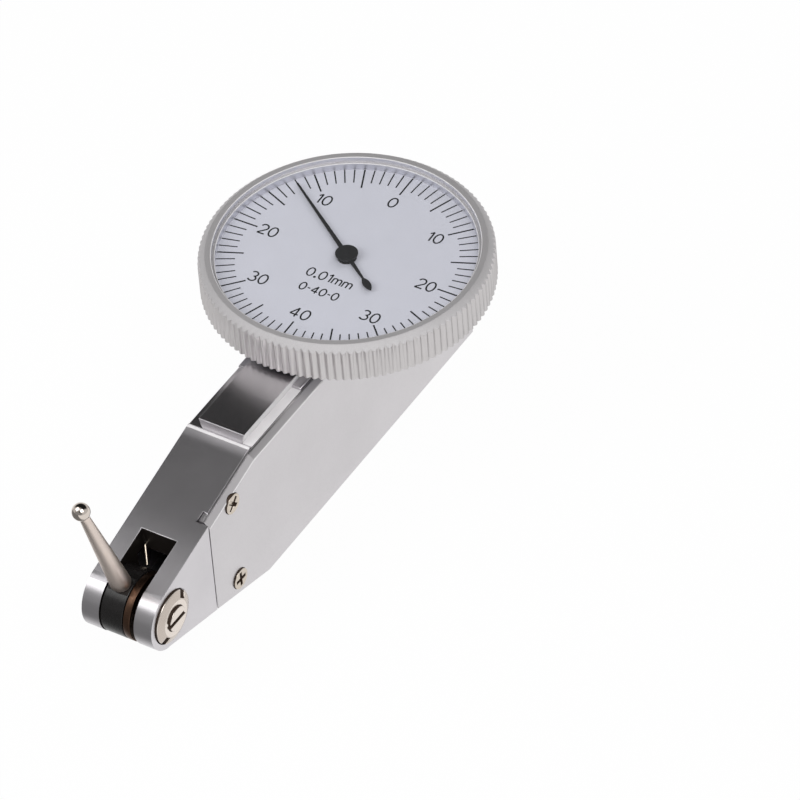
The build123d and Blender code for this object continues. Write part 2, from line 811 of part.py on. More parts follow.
# Sector lever: fork for the drive pin at the front, a toothed arc at the rear
sector_step = 2 * math.pi / sector_teeth_full_circle
sector_arc = tooth_points(
    sector_teeth_full_circle, sector_radius, math.pi - (sector_teeth - 1) * sector_step / 2, sector_teeth
)
pin_slot_width = 2 * (lever_pin_radius + lever_pin_fit)
with BuildPart() as sector_lever:
    with BuildSketch(side_plane(sector_right, sector_x, pivot_z)):
        with BuildLine():
            Polyline((0, sector_hub_radius), *sector_arc, (0, -sector_hub_radius), close=True)
        make_face()
        Circle(sector_hub_radius)
        with Locations((sector_arm / 2, 0)):
            Rectangle(sector_arm, sector_arm_width)
        with Locations((sector_arm, 0)):
            Circle(sector_arm_width / 2 + lever_pin_radius)
        with Locations((sector_arm + sector_arm_width, 0)):
            SlotCenterToCenter(2 * sector_arm_width, pin_slot_width, mode=Mode.SUBTRACT)
        Circle(arbor_radius, mode=Mode.SUBTRACT)
    extrude(amount=sector_thickness)
sector_lever.part.label = "sector_lever"
export_step(sector_lever.part, "parts/sector_lever.step")

sector_arbor = cross_arbor(sector_x)
sector_arbor.part.label = "sector_arbor"
export_step(sector_arbor.part, "parts/sector_arbor.step")

# Bridge on three pillars, carrying the right-hand jewels
with BuildPart() as movement_bridge:
    with BuildSketch(side_plane(bridge_left + bridge_thickness)):
        with Locations(*pillar_spots):
            Circle(bridge_edge)
        make_hull()
        with Locations(*pillar_spots):
            Circle(screw_stem_radius + screw_hole_clearance, mode=Mode.SUBTRACT)
        with Locations((0, pivot_z), (sector_x, pivot_z)):
            Circle(jewel_radius, mode=Mode.SUBTRACT)
    extrude(amount=bridge_thickness)
movement_bridge.part.label = "movement_bridge"
export_step(movement_bridge.part, "parts/movement_bridge.step")

bridge_screws = screw_group(
    side_plane(bridge_left + bridge_thickness + screw_head_height),
    pillar_spots,
    bridge_thickness + screw_stem_length,
)
bridge_screws.part.label = "bridge_screws"
export_step(bridge_screws.part, "parts/bridge_screws.step")

# Cock on the left wall, under the foot of the pointer arbor
with BuildPart() as arbor_cock:
    with BuildSketch(Plane.XY.offset(cock_bottom)):
        with Locations((0, (chamber_left + cock_front) / 2)):
            Rectangle(2 * cock_half_width, cock_front - chamber_left)
    extrude(amount=cock_thickness)
    with BuildSketch(side_plane(chamber_left + cock_foot_thickness)):
        with Locations((0, cock_bottom + cock_foot_height / 2)):
            Rectangle(2 * cock_foot_half_width, cock_foot_height)
        with Locations((-cock_screw_spacing / 2, cock_screw_z), (cock_screw_spacing / 2, cock_screw_z)):
            Circle(screw_stem_radius + screw_hole_clearance, mode=Mode.SUBTRACT)
    extrude(amount=cock_foot_thickness)
    with BuildSketch(Plane.XY.offset(cock_bottom)):
        Circle(jewel_radius)
    extrude(amount=cock_thickness, mode=Mode.SUBTRACT)
arbor_cock.part.label = "arbor_cock"
export_step(arbor_cock.part, "parts/arbor_cock.step")

cock_screws = screw_group(
    side_plane(chamber_left + cock_foot_thickness + screw_head_height),
    [(-cock_screw_spacing / 2, cock_screw_z), (cock_screw_spacing / 2, cock_screw_z)],
    screw_head_height + cock_foot_thickness + left_wall / 2,
)
cock_screws.part.label = "cock_screws"
export_step(cock_screws.part, "parts/cock_screws.step")

# Seven jewels: one at each end of the two cross arbors, two for the pointer arbor and its end stone
jewel_bore = arbor_pivot_radius + pivot_fit
end_stone_thickness = cock_thickness - jewel_thickness
with BuildPart() as jewels:
    for y in (chamber_left, bridge_left + jewel_thickness):
        with BuildSketch(side_plane(y)):
            with Locations((0, pivot_z), (sector_x, pivot_z)):
                Circle(jewel_radius)
                Circle(jewel_bore, mode=Mode.SUBTRACT)
        extrude(amount=jewel_thickness)
    with BuildSketch(Plane.XY.offset(arbor_foot)):
        Circle(jewel_radius)
        Circle(jewel_bore, mode=Mode.SUBTRACT)
    extrude(amount=jewel_thickness)
    with BuildSketch(Plane.XY.offset(ledge_height)):
        Circle(jewel_radius)
        Circle(arbor_radius + pivot_fit, mode=Mode.SUBTRACT)
    extrude(amount=jewel_thickness)
jewels.part.label = "jewels"
export_step(jewels.part, "parts/jewels.step")

with BuildPart() as end_stone:
    with BuildSketch(Plane.XY.offset(cock_bottom)):
        Circle(jewel_radius)
    extrude(amount=end_stone_thickness - pivot_fit)
end_stone.part.label = "end_stone"
export_step(end_stone.part, "parts/end_stone.step")

# Measuring lever of bronze, from the fork back to the drive pin
with BuildPart() as measuring_lever:
    with BuildSketch(side_plane(lever_right)):
        with Locations((pivot_x, pivot_z)):
            Circle(lever_hub_radius)
        with BuildLine():
            Polyline(
                (pivot_x, pivot_z + lever_arm_root / 2),
                (pin_x, pivot_z + lever_arm_end / 2),
                (pin_x, pivot_z - lever_arm_end / 2),
                (pivot_x, pivot_z - lever_arm_root / 2),
                close=True,
            )
        make_face()
        with Locations((pin_x, pivot_z)):
            Circle(lever_arm_end / 2)
            Circle(lever_pin_radius, mode=Mode.SUBTRACT)
        with Locations((pivot_x, pivot_z)):
            Circle(axle_radius, mode=Mode.SUBTRACT)
    extrude(amount=lever_thickness)
measuring_lever.part.label = "measuring_lever"
export_step(measuring_lever.part, "parts/measuring_lever.step")

with BuildPart() as drive_pin:
    with BuildSketch(side_plane(lever_right)):
        with Locations((pin_x, pivot_z)):
            Circle(lever_pin_radius)
    extrude(amount=lever_right - sector_left + lever_pin_overhang)
drive_pin.part.label = "drive_pin"
export_step(drive_pin.part, "parts/drive_pin.step")

# Axle of the measuring lever, between the bushes in the two cheeks
axle_left = slot_left - bearing_depth
axle_right = slot_right + bearing_depth
with BuildPart() as lever_axle:
    with BuildSketch(side_plane(axle_right)):
        with Locations((pivot_x, pivot_z)):
            Circle(axle_radius)
    extrude(amount=axle_right - axle_left)
lever_axle.part.label = "lever_axle"
export_step(lever_axle.part, "parts/lever_axle.step")

with BuildPart() as friction_washer:
    with BuildSketch(side_plane(hub_right + washer_thickness)):
        with Locations((pivot_x, pivot_z)):
            Circle(washer_radius)
            Circle(axle_radius, mode=Mode.SUBTRACT)
    extrude(amount=washer_thickness)
friction_washer.part.label = "friction_washer"
export_step(friction_washer.part, "parts/friction_washer.step")

# Black stylus holder that turns on the axle against friction
stylus_plane = Plane(origin=pivot_centre, x_dir=stylus_direction, z_dir=(0, -1, 0))
stylus_axis = Axis(pivot_centre, stylus_direction)
hub_face = math.sqrt(hub_radius**2 - shank_collar_radius**2)
with BuildPart() as stylus_holder:
    with BuildSketch(side_plane(hub_right)):
        with Locations((pivot_x, pivot_z)):
            Circle(hub_radius)
            Circle(axle_radius + axle_fit, mode=Mode.SUBTRACT)
    extrude(amount=hub_width)
    with BuildSketch(stylus_plane):
        with Locations((hub_face + hub_radius / 2, 0)):
            Rectangle(hub_radius, 2 * shank_collar_radius)
    extrude(amount=shank_base_radius, both=True, mode=Mode.SUBTRACT)
    with BuildSketch(stylus_plane):
        with Locations((hub_face - shank_thread_depth / 2, (shank_thread_radius + shank_thread_fit) / 2)):
            Rectangle(shank_thread_depth, shank_thread_radius + shank_thread_fit)
    revolve(axis=stylus_axis, mode=Mode.SUBTRACT)
stylus_holder.part.label = "stylus_holder"
export_step(stylus_holder.part, "parts/stylus_holder.step")

# Tapered stylus shank with a threaded foot and a cup for the ball
with BuildPart() as stylus_shank:
    with BuildSketch(stylus_plane):
        with BuildLine():
            Polyline(
                (hub_face - shank_thread_depth, 0),
                (hub_face - shank_thread_depth, shank_thread_radius),
                (hub_face, shank_thread_radius),
                (hub_face, shank_collar_radius),
                (hub_face + shank_collar_length, shank_base_radius),
                (stylus_reach, shank_tip_radius),
                (stylus_reach, 0),
                close=True,
            )
        make_face()
    revolve(axis=stylus_axis)
    with Locations(ball_centre):
        Sphere(ball_radius, mode=Mode.SUBTRACT)
stylus_shank.part.label = "stylus_shank"
export_step(stylus_shank.part, "parts/stylus_shank.step")

with BuildPart() as stylus_ball:
    with Locations(ball_centre):
        Sphere(ball_radius)
stylus_ball.part.label = "stylus_ball"
export_step(stylus_ball.part, "parts/stylus_ball.step")

# Right pivot bush with a coned face and two spanner notches
bush_foot = slot_right
bush_head_back = body_right - bush_head_depth
with BuildPart() as pivot_bush:
    with BuildSketch(Plane.XY.offset(pivot_z)):
        with BuildLine():
            Polyline(
                (pivot_x, bush_foot),
                (pivot_x + bush_stem_radius, bush_foot),
                (pivot_x + bush_stem_radius, bush_head_back),
                (pivot_x + bush_radius, bush_head_back),
                (pivot_x + bush_radius, body_right + bush_rim),
                (pivot_x + bush_flat_radius, body_right + bush_proud),
                (pivot_x, body_right + bush_proud),
                close=True,
            )
        make_face()
    revolve(axis=Axis((pivot_x, 0, pivot_z), (0, 1, 0)))
    with BuildSketch(side_plane(body_right + bush_proud)):
        with Locations(Location((pivot_x, pivot_z), bush_notch_angle)):
            with GridLocations(2 * bush_radius, 0, 2, 1):
                Rectangle(2 * bush_notch_depth, bush_notch_width)
    extrude(amount=bush_notch_sink, mode=Mode.SUBTRACT)
    with BuildSketch(side_plane(body_right + bush_proud)):
        with Locations((pivot_x, pivot_z)):
            Circle(pivot_screw_radius + screw_hole_clearance)
    extrude(amount=pivot_screw_height - pivot_screw_proud, mode=Mode.SUBTRACT)
    with BuildSketch(side_plane(axle_right)):
        with Locations((pivot_x, pivot_z)):
            Circle(axle_radius + axle_fit)
    extrude(amount=axle_right - bush_foot, mode=Mode.SUBTRACT)
pivot_bush.part.label = "pivot_bush"
export_step(pivot_bush.part, "parts/pivot_bush.step")

# Slotted cap screw in the middle of the bush
pivot_screw_face = body_right + bush_proud + pivot_screw_proud
with BuildPart() as pivot_screw:
    with BuildSketch(side_plane(pivot_screw_face)):
        with Locations((pivot_x, pivot_z)):
            Circle(pivot_screw_radius)
    extrude(amount=pivot_screw_height)
    with BuildSketch(side_plane(pivot_screw_face)):
        with Locations((pivot_x, pivot_z)):
            Rectangle(2 * pivot_screw_radius, pivot_screw_slot)
    extrude(amount=pivot_screw_slot_depth, mode=Mode.SUBTRACT)
pivot_screw.part.label = "pivot_screw"
export_step(pivot_screw.part, "parts/pivot_screw.step")

# Left pivot bush, set back a little in the left cheek
with BuildPart() as left_bush:
    with BuildSketch(side_plane(slot_left)):
        with Locations((pivot_x, pivot_z)):
            Circle(left_bush_radius)
    extrude(amount=slot_left - body_left - left_bush_recess)
    with BuildSketch(side_plane(slot_left)):
        with Locations((pivot_x, pivot_z)):
            Circle(axle_radius + axle_fit)
    extrude(amount=bearing_depth + axle_fit, mode=Mode.SUBTRACT)
left_bush.part.label = "left_bush"
export_step(left_bush.part, "parts/left_bush.step")

# Wire spring in the back wall of the fork slot
wire_z = pivot_z + lever_wire_rise
wire_bend = slot_back + lever_wire_lead
with BuildPart() as lever_wire:
    with BuildLine():
        FilletPolyline(
            (slot_back - lever_wire_anchor, lever_wire_y, wire_z),
            (wire_bend, lever_wire_y, wire_z),
            (wire_bend + lever_wire_reach, lever_wire_y + lever_wire_side, wire_z - lever_wire_drop),
            radius=2 * lever_wire_radius,
        )
    with BuildSketch(Plane.YZ.offset(slot_back - lever_wire_anchor)):
        with Locations((lever_wire_y, wire_z)):
            Circle(lever_wire_radius)
    sweep()
lever_wire.part.label = "lever_wire"
export_step(lever_wire.part, "parts/lever_wire.step")
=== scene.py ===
"""Looks of a lever dial test indicator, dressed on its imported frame.

Sizes are in millimetres in the classes and in metres in the meshes. x runs forward to the contact ball,
y to the cover side and z up out of the dial, as in the solids.
"""

import json
import logging
import math
from dataclasses import dataclass, field
from enum import Enum
from typing import Callable, Iterable, Optional

import bmesh
import bpy
from mathutils import Matrix, Vector

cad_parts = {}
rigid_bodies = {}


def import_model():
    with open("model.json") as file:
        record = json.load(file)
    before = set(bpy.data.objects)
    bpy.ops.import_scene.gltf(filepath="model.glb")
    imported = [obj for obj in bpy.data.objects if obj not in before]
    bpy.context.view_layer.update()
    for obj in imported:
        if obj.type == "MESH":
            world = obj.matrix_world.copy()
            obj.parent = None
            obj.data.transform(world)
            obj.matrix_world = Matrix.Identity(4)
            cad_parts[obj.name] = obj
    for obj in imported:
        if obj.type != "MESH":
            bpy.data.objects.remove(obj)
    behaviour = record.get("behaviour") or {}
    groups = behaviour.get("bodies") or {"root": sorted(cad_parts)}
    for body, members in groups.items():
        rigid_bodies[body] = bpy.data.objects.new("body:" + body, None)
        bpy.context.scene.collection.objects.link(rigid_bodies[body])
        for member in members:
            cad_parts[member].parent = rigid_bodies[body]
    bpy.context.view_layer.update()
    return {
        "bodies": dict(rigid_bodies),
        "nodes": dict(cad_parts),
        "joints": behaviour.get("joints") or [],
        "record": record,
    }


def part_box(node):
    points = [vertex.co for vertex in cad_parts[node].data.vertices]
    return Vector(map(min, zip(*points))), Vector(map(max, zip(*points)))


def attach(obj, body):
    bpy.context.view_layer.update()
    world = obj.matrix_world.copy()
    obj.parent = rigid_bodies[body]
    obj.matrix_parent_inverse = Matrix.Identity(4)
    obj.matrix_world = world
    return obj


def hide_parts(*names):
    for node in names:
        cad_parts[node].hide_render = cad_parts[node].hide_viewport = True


LOG = logging.getLogger("indicator")
MM = 0.001

Colour = tuple[float, float, float]
Triple = tuple[float, float, float]
Pair = tuple[float, float]
Socket = bpy.types.NodeSocket


class Body(str, Enum):
    """Moving bodies of the indicator."""

    FRAME = "frame"
    BEZEL = "bezel"
    POINTER = "pointer"
    LEVER = "lever"
    STYLUS = "stylus"


class Grain(Enum):
    """Direction of the fine marks that a finish leaves, as a scale along x, y and z per metre."""

    ROUND = (9000.0, 9000.0, 700.0)
    EVEN = (5200.0, 5200.0, 5200.0)
    POLISH = (1400.0, 1400.0, 1400.0)


def from_screen(red: int, green: int, blue: int) -> Colour:
    """Turns screen values into linear colour.

    Args:
        red: Red from 0 to 255.
        green: Green from 0 to 255.
        blue: Blue from 0 to 255.

    Returns:
        The same colour in linear light.
    """
    parts = (value / 255.0 for value in (red, green, blue))
    return tuple(p / 12.92 if p <= 0.04045 else ((p + 0.055) / 1.055) ** 2.4 for p in parts)


class Wiring:
    """Small helper that adds the nodes of one shader tree and links them."""

    def __init__(self, tree: bpy.types.NodeTree) -> None:
        """Empties a tree to start from.

        Args:
            tree: Tree to add nodes to.
        """
        self.tree = tree
        self.tree.nodes.clear()

    def node(self, kind: str) -> bpy.types.Node:
        """Adds one node of a kind."""
        return self.tree.nodes.new(kind)

    def feed(self, target: Socket, value: object) -> None:
        """Links a socket to another one, or sets a plain value on it.

        Args:
            target: Socket to feed.
            value: Socket to link from, or the value to set.
        """
        if isinstance(value, Socket):
            self.tree.links.new(value, target)
        else:
            target.default_value = value

    def split(self, place: Socket) -> dict[str, Socket]:
        """Splits a place into its parts.

        Args:
            place: Socket of the place.

        Returns:
            The sockets of X, Y and Z by those names.
        """
        parts = self.node("ShaderNodeSeparateXYZ")
        self.feed(parts.inputs["Vector"], place)
        return {axis: parts.outputs[axis] for axis in "XYZ"}

    def ramp(self, value: Socket, span: Pair, levels: tuple[object, object],
             smooth: bool = True) -> Socket:
        """Maps a reading to a level.

        Args:
            value: Reading to map.
            span: Readings at which the change starts and ends.
            levels: Levels before and after the change, as values or sockets.
            smooth: Whether the change eases in and out.

        Returns:
            The socket of the level.
        """
        ranged = self.node("ShaderNodeMapRange")
        ranged.interpolation_type = "SMOOTHSTEP" if smooth else "LINEAR"
        names = ("Value", "From Min", "From Max", "To Min", "To Max")
        for name, setting in zip(names, (value, *span, *levels)):
            self.feed(ranged.inputs[name], setting)
        return ranged.outputs["Result"]

    def combine(self, operation: str, first: Socket, second: object) -> Socket:
        """Joins two readings by a sum, a product or a maximum.

        Args:
            operation: Name that the math node has for it.
            first: First reading.
            second: Second reading, or a plain number.

        Returns:
            The socket of the outcome.
        """
        joined = self.node("ShaderNodeMath")
        joined.operation = operation
        self.feed(joined.inputs[0], first)
        self.feed(joined.inputs[1], second)
        return joined.outputs[0]

    def mix(self, share: Socket, first: object, second: object) -> Socket:
        """Mixes two readings.

        Args:
            share: Share of the second reading.
            first: First reading, or a plain number.
            second: Second reading, or a plain number.

        Returns:
            The socket of the mixture.
        """
        mixed = self.node("ShaderNodeMix")
        for name, setting in (("Factor", share), ("A", first), ("B", second)):
            self.feed(mixed.inputs[name], setting)
        return mixed.outputs["Result"]

    def camera_rays(self) -> Socket:
        """Gives a socket that is one for camera rays."""
        return self.node("ShaderNodeLightPath").outputs["Is Camera Ray"]

    def seen_rays(self) -> Socket:
        """Picks out camera, glossy and transmission rays.

        Returns:
            A socket that is one for those rays.
        """
        path = self.node("ShaderNodeLightPath").outputs
        first = self.combine("MAXIMUM", path["Is Camera Ray"], path["Is Glossy Ray"])
        return self.combine("MAXIMUM", first, path["Is Transmission Ray"])


class Graph(Wiring):
    """Nodes of one material around a single shader."""

    noise_middle: Pair = (0.3, 0.7)

    def __init__(self, name: str) -> None:
        """Starts an empty material.

        Args:
            name: Name of the material.
        """
        self.material: bpy.types.Material = bpy.data.materials.new(name)
        self.material.use_nodes = True
        super().__init__(self.material.node_tree)
        output = self.node("ShaderNodeOutputMaterial")
        self.shader = self.node("ShaderNodeBsdfPrincipled")
        self.feed(output.inputs["Surface"], self.shader.outputs["BSDF"])

    def put(self, name: str, value: object) -> None:
        """Feeds one of the shader's own sockets."""
        self.feed(self.shader.inputs[name], value)

    def noise(self, scale: Triple, detail: float) -> Socket:
        """Adds a noise on object coordinates.

        Args:
            scale: Repeats per metre along x, y and z.
            detail: How many finer layers the noise has.

        Returns:
            The socket of the noise.
        """
        place = self.node("ShaderNodeTexCoord")
        mapping = self.node("ShaderNodeMapping")
        mapping.inputs["Scale"].default_value = scale
        texture = self.node("ShaderNodeTexNoise")
        texture.inputs["Scale"].default_value = 1.0
        texture.inputs["Detail"].default_value = detail
        self.feed(mapping.inputs["Vector"], place.outputs["Object"])
        self.feed(texture.inputs["Vector"], mapping.outputs["Vector"])
        return texture.outputs["Fac"]

    def spread(self, noise: Socket, low: float, high: float) -> Socket:
        """Maps the middle of a noise to a range from low to high."""
        return self.ramp(noise, self.noise_middle, (low, high), smooth=False)

    def along_x(self, start: float, end: float, high: float) -> Socket:
        """Ramps a value up from zero along the part's x.

        Args:
            start: Where the ramp starts, in millimetres.
            end: Where it ends, in millimetres.
            high: Value after the ramp.

        Returns:
            The socket of the ramp.
        """
        place = self.split(self.node("ShaderNodeTexCoord").outputs["Object"])
        return self.ramp(place["X"], (start * MM, end * MM), (0.0, high))

    def mottle(self, colour: Colour, share: float, scale: float, detail: float) -> None:
        """Gives the shader a base colour that varies in patches.

        Args:
            colour: Middle colour.
            share: Share by which it turns darker and lighter.
            scale: Patches per metre.
            detail: How many finer layers the patches have.
        """
        mixed = self.node("ShaderNodeMix")
        mixed.data_type = "RGBA"
        colours = [socket for socket in mixed.inputs if socket.type == "RGBA"]
        for socket, factor in zip(colours, (1.0 - share, 1.0 + share)):
            socket.default_value = (*shade(colour, factor), 1.0)
        patches = self.noise((scale, scale, scale), detail)
        self.feed(mixed.inputs["Factor"], self.spread(patches, 0.0, 1.0))
        self.put("Base Color", next(socket for socket in mixed.outputs if socket.type == "RGBA"))

    def emboss(self, noise: Socket, strength: float, depth: float) -> None:
        """Gives the shader a fine bump from a noise.

        Args:
            noise: Noise to read.
            strength: Share of the bump that shows.
            depth: Height of the bump in metres.
        """
        bump = self.node("ShaderNodeBump")
        bump.inputs["Strength"].default_value = strength
        bump.inputs["Distance"].default_value = depth
        self.feed(bump.inputs["Height"], noise)
        self.put("Normal", bump.outputs["Normal"])


def shade(colour: Colour, factor: float) -> Colour:
    """Scales a colour's brightness."""
    return tuple(min(1.0, part * factor) for part in colour)


@dataclass(frozen=True)
class Worn:
    """Stretch along x, in millimetres, over which a finish turns rougher."""

    start: float
    end: float
    extra: float


@dataclass(frozen=True)
class Metal:
    """Metal finish with fine marks from grinding, turning or blasting."""

    name: str
    colour: Colour
    roughness: float
    grain: Grain = Grain.EVEN
    spread: float = 0.05
    mottle: float = 0.03
    bump: float = 0.12
    edge: float = 1.0
    worn: tuple[Worn, ...] = ()
    least_rough: float = 0.02
    mark_detail: float = 4.0
    mark_depth: float = 0.000004
    patch_scale: float = 160.0
    patch_detail: float = 3.0

    def build(self) -> bpy.types.Material:
        """Builds the material.

        Returns:
            The finished material.
        """
        graph = Graph(self.name)
        graph.put("Metallic", 1.0)
        graph.put("Specular Tint", (self.edge, self.edge, self.edge, 1.0))
        marks = graph.noise(self.grain.value, self.mark_detail)
        smoothest = max(self.least_rough, self.roughness - self.spread)
        rough = graph.spread(marks, smoothest, self.roughness + self.spread)
        for stretch in self.worn:
            extra = graph.along_x(stretch.start, stretch.end, stretch.extra)
            rough = graph.combine("ADD", rough, extra)
        graph.put("Roughness", rough)
        graph.mottle(self.colour, self.mottle, self.patch_scale, self.patch_detail)
        graph.emboss(marks, self.bump, self.mark_depth)
        return graph.material


@dataclass(frozen=True)
class Coat:
    """Paint, enamel, ink or oxide finish."""

    name: str
    colour: Colour
    roughness: float
    speck: float = 0.02
    bump: float = 0.08
    size: float = 2600.0
    specular: float = 0.5
    spread: float = 0.05
    fine_detail: float = 5.0
    fine_depth: float = 0.000005
    patch_scale: float = 420.0
    patch_detail: float = 4.0

    def build(self) -> bpy.types.Material:
        """Builds the material.

        Returns:
            The finished material.
        """
        graph = Graph(self.name)
        graph.put("Specular IOR Level", self.specular)
        fine = graph.noise((self.size, self.size, self.size), self.fine_detail)
        rough = graph.spread(fine, self.roughness - self.spread, self.roughness + self.spread)
        graph.put("Roughness", rough)
        graph.mottle(self.colour, self.speck, self.patch_scale, self.patch_detail)
        graph.emboss(fine, self.bump, self.fine_depth)
        return graph.material


@dataclass(frozen=True)
class Clear:
    """Clear moulded crystal, nearly all see-through."""

    name: str
    colour: Colour
    cover: float
    haze_scale: float = 240.0
    haze_detail: float = 2.0
    haze_rough: Pair = (0.02, 0.05)

    def build(self) -> bpy.types.Material:
        """Builds the material.

        Returns:
            The finished material.
        """
        graph = Graph(self.name)
        graph.put("Base Color", (*self.colour, 1.0))
        graph.put("Alpha", self.cover)
        haze = graph.noise((self.haze_scale, self.haze_scale, self.haze_scale), self.haze_detail)
        graph.put("Roughness", graph.spread(haze, *self.haze_rough))
        return graph.material


class Finish(Enum):
    """Finishes of the indicator."""

    GROUND = Metal("ground_steel", from_screen(208, 205, 208), 0.31, Grain.EVEN, 0.03, 0.04, 0.03)
    SLOPE = Metal("slope_steel", from_screen(208, 205, 208), 0.31, Grain.EVEN, 0.03, 0.05, 0.02, 1.0,
                  (Worn(27.3, 25.9, 0.20), Worn(35.0, 44.5, 0.15)))
    # A white matt coat that paints highlights on the strip beside the bar, its overhanging flank, the
    # ridge, the cover's chamfer edge and the bezel's inner edge.
    MILLED = Coat("painted_highlight_white", from_screen(236, 234, 235), 0.42, 0.04, 0.15, 3200.0, 0.5)
    # A near-black coat that paints shade inside the fork's slot.
    FORK = Coat("fork_shade", from_screen(24, 20, 18), 0.45, 0.20, 0.12, 2600.0, 0.3)
    COVER = Metal("satin_cover", from_screen(208, 205, 207), 0.36, Grain.EVEN, 0.05, 0.02, 0.16)
    BEZEL = Metal("satin_bezel", from_screen(222, 220, 221), 0.76, Grain.ROUND, 0.06, 0.02, 0.12)
    KNURL = Metal("satin_knurl", from_screen(206, 203, 203), 0.42, Grain.ROUND, 0.06, 0.03, 0.12, 0.6)
    BORE = Metal("turned_bore", from_screen(226, 226, 232), 0.42, Grain.EVEN, 0.04, 0.02, 0.02)
    CASE = Metal("case_steel", from_screen(150, 150, 154), 0.40, Grain.ROUND, 0.06, 0.04, 0.10)
    NICKEL = Metal("bright_nickel", from_screen(226, 216, 207), 0.17, Grain.POLISH, 0.05, 0.03, 0.05)
    CONE = Metal("turned_cone", from_screen(196, 185, 176), 0.24, Grain.EVEN, 0.05, 0.05, 0.10)
    SCREW = Metal("screw_steel", from_screen(206, 195, 182), 0.24, Grain.EVEN, 0.05, 0.06, 0.10)
    # A dark brown coat that paints shade into the screw recesses, the bush pocket and the screw slot.
    RECESS = Coat("painted_recess_shade", from_screen(62, 48, 38), 0.55, 0.20, 0.20, 3000.0, 0.3)
    STYLUS = Metal("stylus_nickel", from_screen(226, 213, 204), 0.42, Grain.POLISH, 0.04, 0.03, 0.05)
    BALL = Metal("ball_carbide", from_screen(214, 204, 195), 0.07, Grain.POLISH, 0.03, 0.03, 0.03)
    BRONZE = Metal("lever_bronze", from_screen(98, 75, 61), 0.33, Grain.EVEN, 0.08, 0.14, 0.12)
    SPRING = Metal("spring_steel", from_screen(214, 202, 184), 0.24, Grain.POLISH, 0.04, 0.03, 0.05)
    BRASS = Metal("movement_brass", from_screen(206, 170, 96), 0.28, Grain.EVEN, 0.05, 0.05, 0.10)
    ARBOR = Metal("arbor_steel", from_screen(180, 180, 184), 0.18, Grain.ROUND, 0.04, 0.03, 0.06)
    HOLDER = Coat("black_holder", from_screen(20, 18, 18), 0.28, 0.12, 0.08, 2600.0, 0.5)
    DIAL = Coat("dial_enamel", from_screen(204, 205, 215), 0.46, 0.012, 0.05, 2200.0, 0.3)
    INK = Coat("dial_ink", from_screen(14, 15, 20), 0.50, 0.06, 0.04, 5200.0, 0.2)
    POINTER = Coat("pointer_black", from_screen(16, 16, 18), 0.42, 0.10, 0.08, 3200.0, 0.3)
    JEWEL = Coat("jewel_red", from_screen(150, 22, 46), 0.14, 0.06, 0.02, 1600.0, 0.6)
    CRYSTAL = Clear("clear_crystal", from_screen(246, 248, 250), 0.015)


class Paintbox:
    """Builds each finish once and hands it out."""

    def __init__(self) -> None:
        """Starts with no material built."""
        self.made: dict[Finish, bpy.types.Material] = {}

    def get(self, finish: Finish) -> bpy.types.Material:
        """Hands out the material of a finish, building it on first use.

        Args:
            finish: Finish to look up.

        Returns:
            Its material.
        """
        if finish not in self.made:
            self.made[finish] = finish.value.build()
        return self.made[finish]


